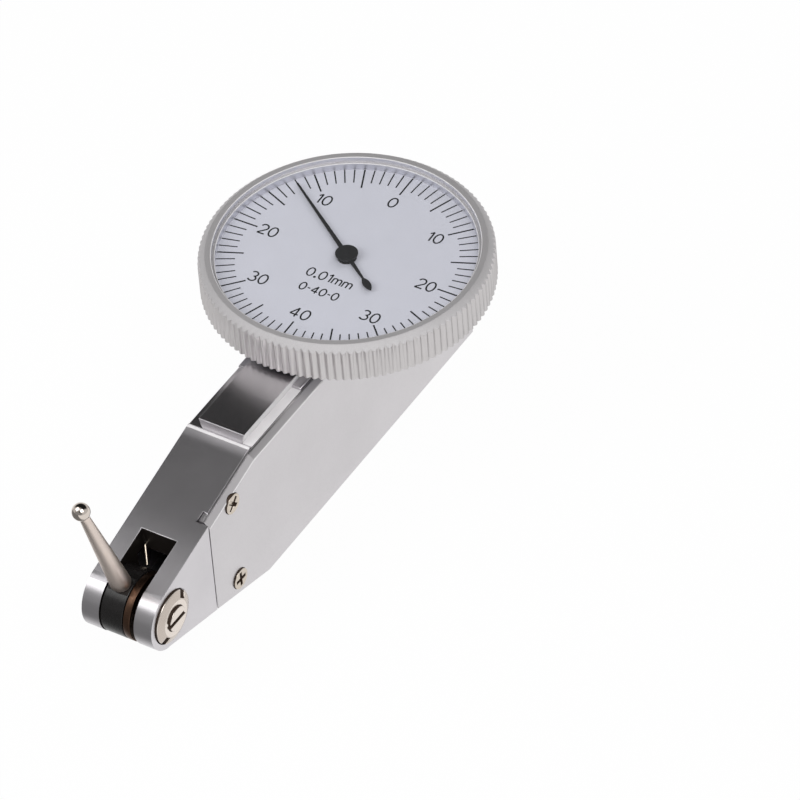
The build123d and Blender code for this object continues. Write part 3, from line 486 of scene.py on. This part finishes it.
class Workshop:
    """Turns meshes into pieces that ride on the frame; lengths in millimetres, turns in degrees."""

    seam: float = 0.0005
    flat_turn: float = 0.2
    sharp_turn: float = 28.0
    smooth_turn: float = 40.0
    break_segments: int = 2
    face_weight: int = 80

    def __init__(self, frame: dict, paints: Paintbox) -> None:
        """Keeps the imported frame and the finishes.

        Args:
            paints: Finishes to dress pieces with.
        """
        self.nodes: dict[str, bpy.types.Object] = frame["nodes"]
        self.slots: dict[str, str] = {
            part["node"]: part["material_slot"] for part in frame["record"]["subparts"]
        }
        self.paints = paints

    def paint_node(self, node: str, finish: Finish) -> None:
        """Gives a solid of the frame its finish in place.

        Args:
            node: Name of the solid.
            finish: Finish to give it.
        """
        materials = self.nodes[node].data.materials
        materials.clear()
        materials.append(self.paints.get(finish))

    def copy_of(self, node: str) -> bmesh.types.BMesh:
        """Copies a solid's mesh with its seams closed and its flat faces whole.

        Args:
            node: Name of the solid.

        Returns:
            The merged copy.
        """
        mesh = bmesh.new()
        mesh.from_mesh(self.nodes[node].data)
        bmesh.ops.remove_doubles(mesh, verts=mesh.verts, dist=self.seam * MM)
        bmesh.ops.dissolve_limit(
            mesh, angle_limit=math.radians(self.flat_turn), use_dissolve_boundaries=False,
            verts=mesh.verts, edges=mesh.edges,
        )
        return mesh

    def eased(self, node: str, width: float, keep: Optional[Callable[[bmesh.types.BMEdge], bool]] = None,
              angle: float = sharp_turn) -> bmesh.types.BMesh:
        """Copies a solid and breaks its sharp outer edges.

        Args:
            node: Name of the solid.
            width: Width of the break in millimetres.
            keep: Test that picks the edges to break; all sharp outer ones if not given.
            angle: Edges with a smaller turn than this, in degrees, stay as they are.

        Returns:
            The eased copy.
        """
        mesh = self.copy_of(node)
        edges = [
            edge
            for edge in mesh.edges
            if len(edge.link_faces) == 2
            and edge.is_convex
            and edge.calc_face_angle(0.0) > math.radians(angle)
            and (keep is None or keep(edge))
        ]
        bmesh.ops.bevel(
            mesh, geom=edges, offset=width * MM, offset_type="OFFSET",
            segments=self.break_segments, profile=0.5, affect="EDGES", clamp_overlap=False, material=-1,
        )
        return mesh

    def finish_piece(self, name: str, mesh: bmesh.types.BMesh, body: Body,
                     finishes: Iterable[Finish], stands_for: Iterable[str] = (),
                     even: bool = True) -> bpy.types.Object:
        """Makes a mesh a piece of the indicator.

        Args:
            name: Name of the piece.
            mesh: Its mesh, in metres in the frame.
            body: Body that it rides on.
            finishes: Its materials in order.
            stands_for: Solids that it replaces.
            even: Whether large faces rule the shading of their corners.

        Returns:
            The new object.
        """
        data = bpy.data.meshes.new(name)
        mesh.to_mesh(data)
        mesh.free()
        for finish in finishes:
            data.materials.append(self.paints.get(finish))
        data.polygons.foreach_set("use_smooth", [True] * len(data.polygons))
        data.set_sharp_from_angle(angle=math.radians(self.smooth_turn))
        piece = bpy.data.objects.new(name, data)
        bpy.context.scene.collection.objects.link(piece)
        if even:
            weigh = piece.modifiers.new("even_faces", "WEIGHTED_NORMAL")
            weigh.keep_sharp = True
            weigh.weight = self.face_weight
        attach(piece, body.value)
        if stands_for:
            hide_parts(*stands_for)
        LOG.info("piece %s rides on %s with %d faces", name, body.value, len(data.polygons))
        return piece


@dataclass
class BodyShell:
    """Ground bar with the forked nose, and the cover let into its side."""

    bar_finishes: tuple[Finish, ...] = (Finish.GROUND, Finish.MILLED, Finish.FORK, Finish.SLOPE)
    plate_finishes: tuple[Finish, ...] = (Finish.COVER, Finish.MILLED)
    screw_finishes: tuple[Finish, ...] = (Finish.SCREW, Finish.RECESS)
    edge_break: float = 0.10
    cover_break: float = 0.06
    plate_break: float = 0.09
    plate_edge: Pair = (0.74, 0.99)
    plate_upward: float = 0.1
    shortest_edge: float = 1.0
    slope_forward: Pair = (0.15, 0.5)
    slope_upward: float = 0.85
    strip_upward: float = 0.999
    strip_room: float = 0.02
    flank_outward: float = 0.9
    flank_upward: float = -0.2
    cut_room: float = 0.001
    ridge: Pair = (25.5, 25.9)
    ridge_rise: float = 0.25
    slot_start: float = 38.35
    slot_sides: Pair = (-2.3, 2.15)
    recess_depth: Pair = (0.12, 0.45)
    recess_area: float = 0.4
    upper_screw_turn: float = 45.0

    def slopes(self, face: bmesh.types.BMFace) -> bool:
        """Tells whether a face lies on the sloping front."""
        low, high = self.slope_forward
        return low < face.normal.x < high and face.normal.z > self.slope_upward

    def long_edge(self, edge: bmesh.types.BMEdge) -> bool:
        """Tells whether an edge is long enough to be broken."""
        return edge.calc_length() > self.shortest_edge * MM

    def build(self, shop: Workshop) -> None:
        """Builds and dresses the bar, the cover and the screws.

        Args:
            shop: Workshop that makes the pieces.
        """
        shop.finish_piece(
            "body_bar", self.bar(shop), Body.FRAME, self.bar_finishes, ["frame"]
        )
        shop.finish_piece(
            "cover_plate", self.plate(shop), Body.FRAME,
            self.plate_finishes, ["side_cover"],
        )
        shop.finish_piece(
            "cover_screw_set", self.screws(shop), Body.FRAME,
            self.screw_finishes, ["cover_screws"],
        )

    def bar(self, shop: Workshop) -> bmesh.types.BMesh:
        """Eases the bar, paints highlights on the strip beside it, its overhanging flank and the ridge,
        marks its sloping front and paints shade inside the fork.

        Args:
            shop: Workshop that makes the pieces.

        Returns:
            The mesh of the bar.
        """
        mesh = shop.eased("frame", self.edge_break, self.long_edge)
        slope = [face for face in mesh.faces if self.slopes(face)]
        around = {part for face in slope for part in (*face.verts, *face.edges)}
        bmesh.ops.bisect_plane(
            mesh, geom=[*slope, *around], dist=self.cut_room * MM,
            plane_co=(self.ridge[1] * MM, 0.0, 0.0), plane_no=(1.0, 0.0, 0.0),
        )
        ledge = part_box("side_cover")[1].z
        slot_left, slot_right = (side * MM for side in self.slot_sides)
        for face in mesh.faces:
            middle = face.calc_center_median()
            normal = face.normal
            is_level = abs(middle.z - ledge) < self.strip_room * MM
            on_strip = normal.z > self.strip_upward and is_level and middle.y > 0.0
            overhangs = normal.y > self.flank_outward and normal.z < self.flank_upward
            on_flank = overhangs and middle.z > ledge
            near_ridge = self.ridge[0] * MM < middle.x < self.ridge[1] * MM
            on_ridge = near_ridge and 0.0 < middle.z - ledge < self.ridge_rise * MM
            # Painted highlight on the right strip, the overhanging flank and the ridge; painted shade
            # inside the fork.
            if on_strip or on_flank or on_ridge:
                face.material_index = self.bar_finishes.index(Finish.MILLED)
            elif middle.x > self.slot_start * MM and slot_left < middle.y < slot_right:
                face.material_index = self.bar_finishes.index(Finish.FORK)
            elif self.slopes(face):
                face.material_index = self.bar_finishes.index(Finish.SLOPE)
        return mesh

    def plate(self, shop: Workshop) -> bmesh.types.BMesh:
        """Eases the cover and paints a highlight on the eased edge along its chamfer.

        Args:
            shop: Workshop that makes the pieces.

        Returns:
            The mesh of the cover.
        """
        mesh = shop.eased("side_cover", self.plate_break, self.long_edge)
        for face in mesh.faces:
            is_edge = self.plate_edge[0] < face.normal.y < self.plate_edge[1]
            # Painted highlight on the eased faces between the chamfer and the outer face.
            if is_edge and face.normal.z > self.plate_upward:
                face.material_index = self.plate_finishes.index(Finish.MILLED)
        return mesh

    def screws(self, shop: Workshop) -> bmesh.types.BMesh:
        """Eases the screw heads, paints shade into their recesses and turns the upper front screw to its
        own angle.

        Args:
            shop: Workshop that makes the pieces.

        Returns:
            The mesh of all four screws.
        """
        mesh = shop.eased("cover_screws", self.cover_break)
        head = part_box("cover_screws")[1].y
        for face in mesh.faces:
            depth = (head - face.calc_center_median().y) / MM
            is_small = face.calc_area() < self.recess_area * MM * MM
            # Painted shade in the cross recesses.
            if self.recess_depth[0] < depth < self.recess_depth[1] and is_small:
                face.material_index = self.screw_finishes.index(Finish.RECESS)
        front = [vert for vert in mesh.verts if vert.co.x > 0.0]
        middle = (min(vert.co.z for vert in front) + max(vert.co.z for vert in front)) / 2
        upper = [vert for vert in front if vert.co.z > middle]
        centre = sum((vert.co for vert in upper), Vector()) / len(upper)
        turn = Matrix.Rotation(math.radians(self.upper_screw_turn), 3, "Y")
        bmesh.ops.rotate(mesh, cent=centre, matrix=turn, verts=upper)
        return mesh


@dataclass(frozen=True)
class Glyph:
    """One printed sign, drawn by strokes on a figure height of one."""

    width: float
    strokes: tuple[tuple[Pair, ...], ...]
    closed: bool = False


ARC_STEP = 15.0
ARC_LEAST_STEPS = 4


def arc(centre: Pair, radii: Pair, start: float, end: float) -> tuple[Pair, ...]:
    """Gives points along part of an oval.

    Args:
        centre: Middle of the oval.
        radii: Its half width and half height.
        start: First angle in degrees.
        end: Last angle in degrees.

    Returns:
        The points in order.
    """
    steps = max(ARC_LEAST_STEPS, int(abs(end - start) / ARC_STEP))
    angles = (math.radians(start + (end - start) * step / steps) for step in range(steps + 1))
    return tuple(
        (centre[0] + radii[0] * math.cos(angle), centre[1] + radii[1] * math.sin(angle))
        for angle in angles
    )


GLYPH_SPACE = 0.22
GLYPH_MIDDLE = 0.5
GLYPHS: dict[str, Glyph] = {
    "0": Glyph(0.62, (arc((0.31, 0.5), (0.31, 0.5), 0.0, 345.0),), closed=True),
    "1": Glyph(0.30, (((0.02, 0.76), (0.26, 1.0)), ((0.26, 1.0), (0.26, 0.0)))),
    "2": Glyph(0.60, (
        arc((0.30, 0.70), (0.29, 0.30), 165.0, -30.0) + ((0.0, 0.0),),
        ((0.0, 0.0), (0.60, 0.0)),
    )),
    "3": Glyph(0.60, (
        arc((0.29, 0.75), (0.26, 0.25), 150.0, -80.0) + arc((0.29, 0.26), (0.31, 0.26), 80.0, -150.0),
    )),
    "4": Glyph(0.66, (
        ((0.66, 0.26), (0.0, 0.26)),
        ((0.0, 0.26), (0.46, 1.0)),
        ((0.46, 1.0), (0.46, 0.0)),
    )),
    ".": Glyph(0.14, (arc((0.07, 0.05), (0.06, 0.06), 0.0, 315.0),), closed=True),
    "-": Glyph(0.30, (((0.0, 0.48), (0.30, 0.48)),)),
    "m": Glyph(0.80, (
        ((0.0, 0.0), (0.0, 0.68)),
        arc((0.20, 0.46), (0.20, 0.22), 180.0, 0.0) + ((0.40, 0.0),),
        arc((0.60, 0.46), (0.20, 0.22), 180.0, 0.0) + ((0.80, 0.0),),
    )),
}


@dataclass
class Dial:
    """Bezel, crystal and the printed dial."""

    bezel_finishes: tuple[Finish, ...] = (Finish.BEZEL, Finish.KNURL, Finish.BORE, Finish.MILLED)
    edge_break: float = 0.07
    sharp_turn: float = 34.0
    upright_below: float = 0.2
    flat_above: float = 0.95
    crystal_room: float = 0.03
    print_height: float = 0.02
    zero_angle: float = 181.3
    divisions: int = 80
    long_every: int = 5
    number_every: int = 10
    tick_outer: float = 14.1
    long_inner: float = 11.2
    short_inner: float = 12.05
    long_width: float = 0.18
    short_width: float = 0.14
    number_radius: float = 9.8
    number_height: float = 1.45
    number_stroke: float = 0.20
    unit_text: str = "0.01mm"
    unit_place: float = 3.6
    unit_height: float = 1.25
    span_text: str = "0-40-0"
    span_place: float = 5.9
    span_height: float = 1.1
    small_stroke: float = 0.18
    stroke_rounding: int = 1

    def build(self, shop: Workshop) -> None:
        """Builds and dresses the bezel, the crystal, the dial plate and its print.

        Args:
            shop: Workshop that makes the pieces.
        """
        shop.finish_piece(
            "bezel_ring", self.bezel(shop), Body.BEZEL, self.bezel_finishes, ["bezel"]
        )
        shop.finish_piece(
            "crystal_disc", self.crystal(shop), Body.BEZEL, [Finish.CRYSTAL],
            ["crystal"],
        )
        shop.paint_node("dial_face", Finish.DIAL)
        shop.finish_piece(
            "dial_ticks", self.ticks(), Body.BEZEL, [Finish.INK], even=False
        )
        shop.finish_piece(
            "dial_numbers", self.numbers(), Body.BEZEL, [Finish.INK], even=False
        )

    def bezel(self, shop: Workshop) -> bmesh.types.BMesh:
        """Eases the bezel, marks its upright knurl and bore, and paints a highlight on the inner edge
        above the bore.

        Args:
            shop: Workshop that makes the pieces.

        Returns:
            The mesh of the bezel.
        """
        mesh = shop.eased("bezel", self.edge_break, angle=self.sharp_turn)
        for face in mesh.faces:
            middle = face.calc_center_median()
            outward = middle.x * face.normal.x + middle.y * face.normal.y
            # Inward faces that tilt up get a painted highlight on the inner edge above the bore.
            if abs(face.normal.z) < self.upright_below:
                wall = Finish.KNURL if outward > 0.0 else Finish.BORE
                face.material_index = self.bezel_finishes.index(wall)
            elif outward < 0.0 and self.upright_below < face.normal.z < self.flat_above:
                face.material_index = self.bezel_finishes.index(Finish.MILLED)
        return mesh

    def crystal(self, shop: Workshop) -> bmesh.types.BMesh:
        """Copies the crystal and sets it a hair off its seat in the bezel.

        Args:
            shop: Workshop that makes the pieces.

        Returns:
            The mesh of the crystal.
        """
        mesh = shop.copy_of("crystal")
        low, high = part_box("crystal")
        room = self.crystal_room * MM
        share = 1.0 - room / high.x
        bmesh.ops.scale(mesh, vec=(share, share, 1.0), verts=mesh.verts)
        under = [vert for vert in mesh.verts if vert.co.z < low.z + room]
        bmesh.ops.translate(mesh, vec=(0.0, 0.0, room), verts=under)
        return mesh

    def ticks(self) -> bmesh.types.BMesh:
        """Prints the ring of tick marks.

        Returns:
            The mesh of all the marks.
        """
        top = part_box("dial_face")[1].z
        mesh = bmesh.new()
        for mark in range(self.divisions):
            is_long = mark % self.long_every == 0
            inner = self.long_inner if is_long else self.short_inner
            width = self.long_width if is_long else self.short_width
            turn = math.radians(self.zero_angle + mark * 360.0 / self.divisions)
            middle = ((inner + self.tick_outer) / 2 * MM, 0.0, top + self.print_height / 2 * MM)
            sides = ((self.tick_outer - inner) * MM, width * MM, self.print_height * MM, 1.0)
            place = Matrix.Rotation(turn, 4, "Z") @ Matrix.Translation(middle) @ Matrix.Diagonal(sides)
            bmesh.ops.create_cube(mesh, size=1.0, matrix=place)
        return mesh

    def numbers(self) -> bmesh.types.BMesh:
        """Prints the numbers and the two small lines under the pointer.

        Returns:
            The mesh of all the lettering.
        """
        top = Vector((0.0, 0.0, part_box("dial_face")[1].z))
        upright = math.radians(self.zero_angle - 90.0)
        mesh = bmesh.new()
        labels = self.divisions // self.number_every
        for label in range(labels):
            value = self.number_every * min(label, labels - label)
            turn = math.radians(self.zero_angle + label * 360.0 / labels)
            spot = top + self.toward(turn) * self.number_radius * MM
            self.line(mesh, str(value), spot, upright, self.number_height, self.number_stroke)
        forward = -self.toward(math.radians(self.zero_angle))
        for text, place, height in (
            (self.unit_text, self.unit_place, self.unit_height),
            (self.span_text, self.span_place, self.span_height),
        ):
            self.line(mesh, text, top + forward * place * MM, upright, height, self.small_stroke)
        return mesh

    def toward(self, turn: float) -> Vector:
        """Gives the flat direction at a turn in radians."""
        return Vector((math.cos(turn), math.sin(turn), 0.0))

    def line(self, mesh: bmesh.types.BMesh, text: str, spot: Vector, turn: float, height: float,
             stroke: float) -> None:
        """Adds one line of print, centred on a spot.

        Args:
            mesh: Mesh to add to.
            text: Characters of the line.
            spot: Centre of the line on the dial.
            turn: Turn of the line about the upright axis, in radians.
            height: Height of the figures in millimetres.
            stroke: Width of the strokes in millimetres.
        """
        curve = bpy.data.curves.new("print_line", "CURVE")
        curve.dimensions = "3D"
        curve.bevel_depth = stroke / height / 2
        curve.bevel_resolution = self.stroke_rounding
        curve.use_fill_caps = True
        pen = 0.0
        for sign in text:
            glyph = GLYPHS[sign]
            for points in glyph.strokes:
                spline = curve.splines.new("POLY")
                spline.points.add(len(points) - 1)
                for knot, (x, y) in zip(spline.points, points):
                    knot.co = (pen + x, y - GLYPH_MIDDLE, 0.0, 1.0)
                spline.use_cyclic_u = glyph.closed
            pen += glyph.width + GLYPH_SPACE
        holder = bpy.data.objects.new("print_line", curve)
        flat = bpy.data.meshes.new_from_object(holder)
        flat.transform(
            Matrix.Translation(spot)
            @ Matrix.Rotation(turn, 4, "Z")
            @ Matrix.Diagonal((height * MM, height * MM, self.print_height * MM, 1.0))
            @ Matrix.Translation((-(pen - GLYPH_SPACE) / 2, 0.0, 0.0))
        )
        mesh.from_mesh(flat)
        bpy.data.objects.remove(holder)
        bpy.data.curves.remove(curve)
        bpy.data.meshes.remove(flat)


@dataclass
class Hand:
    """Pointer on its boss."""

    edge_break: float = 0.03
    blade_start: float = 2.5
    tip_growth: float = 0.9
    tip_reach: float = 0.6

    def build(self, shop: Workshop) -> None:
        """Builds and dresses the pointer.

        Args:
            shop: Workshop that makes the pieces.
        """
        shop.finish_piece(
            "pointer_hand", self.blade(shop), Body.POINTER, [Finish.POINTER],
            ["pointer"],
        )

    def blade(self, shop: Workshop) -> bmesh.types.BMesh:
        """Eases the pointer and gives its blade a blunt tip that reaches well over the tick marks.

        Args:
            shop: Workshop that makes the pieces.

        Returns:
            The mesh of the pointer.
        """
        mesh = shop.eased("pointer", self.edge_break)
        tip = max((vert.co for vert in mesh.verts), key=lambda spot: spot.xy.length).xy
        along = tip.normalized()
        start = self.blade_start * MM
        for vert in mesh.verts:
            reach = vert.co.xy.dot(along)
            if reach > start:
                share = (reach - start) / (tip.length - start)
                across = (vert.co.xy - along * reach) * (1.0 + self.tip_growth * share)
                vert.co.xy = along * (reach + self.tip_reach * MM * share) + across
        return mesh


@dataclass
class Nose:
    """Stylus, its holder, the measuring lever and the bushes in the fork."""

    recessed_finishes: tuple[Finish, ...] = (Finish.NICKEL, Finish.RECESS, Finish.CONE)
    edge_break: float = 0.08
    fine_break: float = 0.05
    cone_tilt: Pair = (0.88, 0.96)
    recess_depths: dict[str, float] = field(
        default_factory=lambda: {"pivot_bush": 0.42, "pivot_screw": 0.15}
    )

    def build(self, shop: Workshop) -> None:
        """Builds and dresses the pieces of the nose.

        Args:
            shop: Workshop that makes the pieces.
        """
        rows = (
            ("stylus_hub", "stylus_holder", Body.STYLUS, Finish.HOLDER, self.edge_break),
            ("stylus_stem", "stylus_shank", Body.STYLUS, Finish.STYLUS, self.fine_break),
            ("contact_ball", "stylus_ball", Body.STYLUS, Finish.BALL, 0.0),
            ("bronze_lever", "measuring_lever", Body.LEVER, Finish.BRONZE, self.fine_break),
            ("notched_bush", "pivot_bush", Body.FRAME, Finish.NICKEL, self.fine_break),
            ("slotted_screw", "pivot_screw", Body.FRAME, Finish.NICKEL, self.fine_break),
            ("plain_bush", "left_bush", Body.FRAME, Finish.NICKEL, self.fine_break),
            ("slot_wire", "lever_wire", Body.FRAME, Finish.SPRING, 0.0),
        )
        for name, node, body, finish, width in rows:
            mesh = shop.eased(node, width) if width else shop.copy_of(node)
            finishes = (finish,)
            if node in self.recess_depths:
                finishes = self.recessed_finishes
                self.mark(mesh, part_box(node)[1].y - self.recess_depths[node] * MM)
            shop.finish_piece(name, mesh, body, finishes, [node])

    def mark(self, mesh: bmesh.types.BMesh, level: float) -> None:
        """Paints shade on the faces below a level, and gives the coned ones above it the turned finish.

        Args:
            mesh: Mesh of the bush or screw.
            level: Height along y under which faces get painted shade, in metres.
        """
        for face in mesh.faces:
            # Painted shade in the pocket and the slot.
            if face.calc_center_median().y < level:
                face.material_index = self.recessed_finishes.index(Finish.RECESS)
            elif self.cone_tilt[0] < face.normal.y < self.cone_tilt[1]:
                face.material_index = self.recessed_finishes.index(Finish.CONE)


@dataclass
class Movement:
    """Wheels, arbors, bridges and springs inside the body."""

    def build(self, shop: Workshop) -> None:
        """Dresses the solids of the movement in place.

        Args:
            shop: Workshop that holds the solids.
        """
        finishes = {
            Finish.CASE: ("dial_case",),
            Finish.BRASS: ("crown_wheel", "sector_lever", "movement_bridge", "arbor_cock",
                           "hairspring_collet", "hairspring_stud"),
            Finish.ARBOR: ("pointer_arbor", "crown_arbor", "crown_pinion", "sector_arbor", "drive_pin",
                           "lever_axle"),
            Finish.SPRING: ("dial_snap_ring", "bezel_spring", "hairspring", "friction_washer"),
            Finish.SCREW: ("case_screws", "bridge_screws", "cock_screws"),
            Finish.JEWEL: ("jewels", "end_stone"),
        }
        for finish, nodes in finishes.items():
            for node in nodes:
                shop.paint_node(node, finish)


@dataclass(frozen=True)
class Lamp:
    """Soft square lamp: place and side in metres, power in watts, and whether metal shows it."""

    name: str
    place: Triple
    side: float
    power: float
    mirrored: bool

    def hang(self, aim: Vector) -> None:
        """Hangs the lamp so that it looks at a spot.

        Args:
            aim: Spot to look at, in metres.
        """
        data = bpy.data.lights.new(self.name, "AREA")
        data.shape = "SQUARE"
        data.size = self.side
        data.energy = self.power
        seat = bpy.data.objects.new(self.name, data)
        seat.visible_glossy = self.mirrored
        bpy.context.scene.collection.objects.link(seat)
        turn = (Vector(self.place) - aim).to_track_quat("Z", "Y").to_matrix().to_4x4()
        seat.matrix_world = Matrix.Translation(Vector(self.place)) @ turn


@dataclass
class Studio:
    """Camera, pale floor, lamps and surroundings; eye and aim in millimetres, the rest in metres."""

    eye: Triple = (518.44, 366.11, 596.47)
    right: Triple = (-0.5211, 0.8512, -0.0624)
    above: Triple = (-0.6084, -0.3191, 0.7267)
    aim: Triple = (15.0, 0.0, 12.0)
    lens: float = 360.0
    sensor: float = 36.0
    clip: Pair = (0.01, 20.0)
    lamps: tuple[Lamp, ...] = (
        Lamp("key_lamp", (0.55, 0.75, 1.15), 0.9, 8.0, True),
        Lamp("fill_lamp", (0.95, -0.55, 0.75), 0.9, 3.0, False),
        Lamp("back_lamp", (-0.95, 0.2, 0.9), 0.7, 2.5, False),
        Lamp("nose_card", (0.092, -0.050, 0.115), 0.08, 0.036, True),
    )
    floor_size: float = 6.0
    floor_colour: Colour = (0.9, 0.9, 0.9)
    floor_glow: float = 0.97
    ambient: float = 0.50
    bright_level: float = 0.85
    dark_level: float = 0.02
    ahead_level: float = 0.45
    ahead_spread: Pair = (0.55, 0.80)
    view_level: float = 0.20
    view_spread: Pair = (0.90, 0.97)
    front_floor: Pair = (0.044, 0.054)
    front_side: Pair = (0.014, 0.004)
    front_level: float = 0.20
    dark_back: Pair = (0.22, -0.18)
    dark_side: Pair = (0.80, 0.55)
    dark_rise: Pair = (0.22, 0.42)

    def build(self) -> None:
        """Sets up the camera, the floor, the surroundings and the lamps."""
        self.camera()
        self.floor()
        self.world()
        for lamp in self.lamps:
            lamp.hang(Vector(self.aim) * MM)
        bpy.context.scene.view_settings.view_transform = "Standard"

    def camera(self) -> None:
        """Places the camera where the photograph was taken from."""
        data = bpy.data.cameras.new("camera")
        data.lens = self.lens
        data.sensor_width = self.sensor
        data.clip_start, data.clip_end = self.clip
        seat = bpy.data.objects.new("camera", data)
        bpy.context.scene.collection.objects.link(seat)
        right = Vector(self.right).normalized()
        back = right.cross(Vector(self.above)).normalized()
        above = back.cross(right)
        turn = Matrix((right, above, back)).transposed().to_4x4()
        seat.matrix_world = Matrix.Translation(Vector(self.eye) * MM) @ turn
        bpy.context.scene.camera = seat

    def floor(self) -> None:
        """Lays a pale floor that keeps a faint shadow."""
        mesh = bmesh.new()
        bmesh.ops.create_grid(mesh, x_segments=1, y_segments=1, size=self.floor_size / 2)
        data = bpy.data.meshes.new("floor")
        mesh.to_mesh(data)
        mesh.free()
        plane = bpy.data.objects.new("floor", data)
        bpy.context.scene.collection.objects.link(plane)
        data.materials.append(self.floor_material())

    def floor_material(self) -> bpy.types.Material:
        """Builds the material of the floor, which glows for the rays that see it.

        Returns:
            The finished material.
        """
        material = bpy.data.materials.new("pale_floor")
        material.use_nodes = True
        wires = Wiring(material.node_tree)
        output = wires.node("ShaderNodeOutputMaterial")
        matt = wires.node("ShaderNodeBsdfDiffuse")
        matt.inputs["Color"].default_value = (*self.floor_colour, 1.0)
        glow = wires.node("ShaderNodeEmission")
        wires.feed(glow.inputs["Strength"], self.floor_light(wires))
        mixed = wires.node("ShaderNodeMixShader")
        share = wires.combine("MULTIPLY", wires.seen_rays(), self.floor_glow)
        for socket, source in zip(mixed.inputs, (share, matt.outputs[0], glow.outputs[0])):
            wires.feed(socket, source)
        wires.feed(output.inputs["Surface"], mixed.outputs[0])
        return material

    def floor_light(self, wires: Wiring) -> Socket:
        """Adds nodes that dim the floor ahead of the nose where metal mirrors it.

        Args:
            wires: Wiring to add to.

        Returns:
            A socket with the floor's light.
        """
        place = wires.split(wires.node("ShaderNodeNewGeometry").outputs["Position"])
        beside = wires.ramp(place["Y"], self.front_side, (1.0, self.front_level))
        ahead = wires.ramp(place["X"], self.front_floor, (1.0, beside))
        return wires.combine("MAXIMUM", ahead, wires.camera_rays())

    def world(self) -> None:
        """Surrounds the scene with white, and with what the metal mirrors."""
        world = bpy.data.worlds.new("surroundings")
        bpy.context.scene.world = world
        world.use_nodes = True
        wires = Wiring(world.node_tree)
        output = wires.node("ShaderNodeOutputWorld")
        back = wires.node("ShaderNodeBackground")
        lit = wires.mix(wires.seen_rays(), self.ambient, self.mirrored_light(wires))
        wires.feed(back.inputs["Strength"], wires.mix(wires.camera_rays(), lit, 1.0))
        wires.feed(output.inputs["Surface"], back.outputs[0])

    def mirrored_light(self, wires: Wiring) -> Socket:
        """Adds nodes for the light that metal mirrors, dim at the upper back, ahead and by the camera.

        Args:
            wires: Wiring to add to.

        Returns:
            A socket with that light.
        """
        place = wires.node("ShaderNodeTexCoord").outputs["Generated"]
        parts = wires.split(place)
        dark: object = 1.0
        for axis, span in (("X", self.dark_back), ("Y", self.dark_side), ("Z", self.dark_rise)):
            dark = wires.ramp(parts[axis], span, (0.0, dark))
        dim = wires.ramp(dark, (0.0, 1.0), (self.bright_level, self.dark_level), smooth=False)
        toward = wires.node("ShaderNodeVectorMath")
        toward.operation = "DOT_PRODUCT"
        toward.inputs[1].default_value = Vector(self.eye).normalized()
        wires.feed(toward.inputs[0], place)
        behind = wires.ramp(toward.outputs["Value"], self.view_spread, (1.0, self.view_level))
        ahead = wires.ramp(parts["X"], self.ahead_spread, (1.0, self.ahead_level))
        return wires.combine("MULTIPLY", dim, wires.combine("MULTIPLY", ahead, behind))


def main() -> None:
    """Dresses the indicator and sets the scene."""
    logging.basicConfig(level=logging.INFO, format="%(name)s: %(message)s")
    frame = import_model()
    Studio().build()
    shop = Workshop(frame, Paintbox())
    for assembly in (BodyShell(), Dial(), Hand(), Nose(), Movement()):
        assembly.build(shop)
        LOG.info("built %s", type(assembly).__name__)


if __name__ == "__main__":
    main()
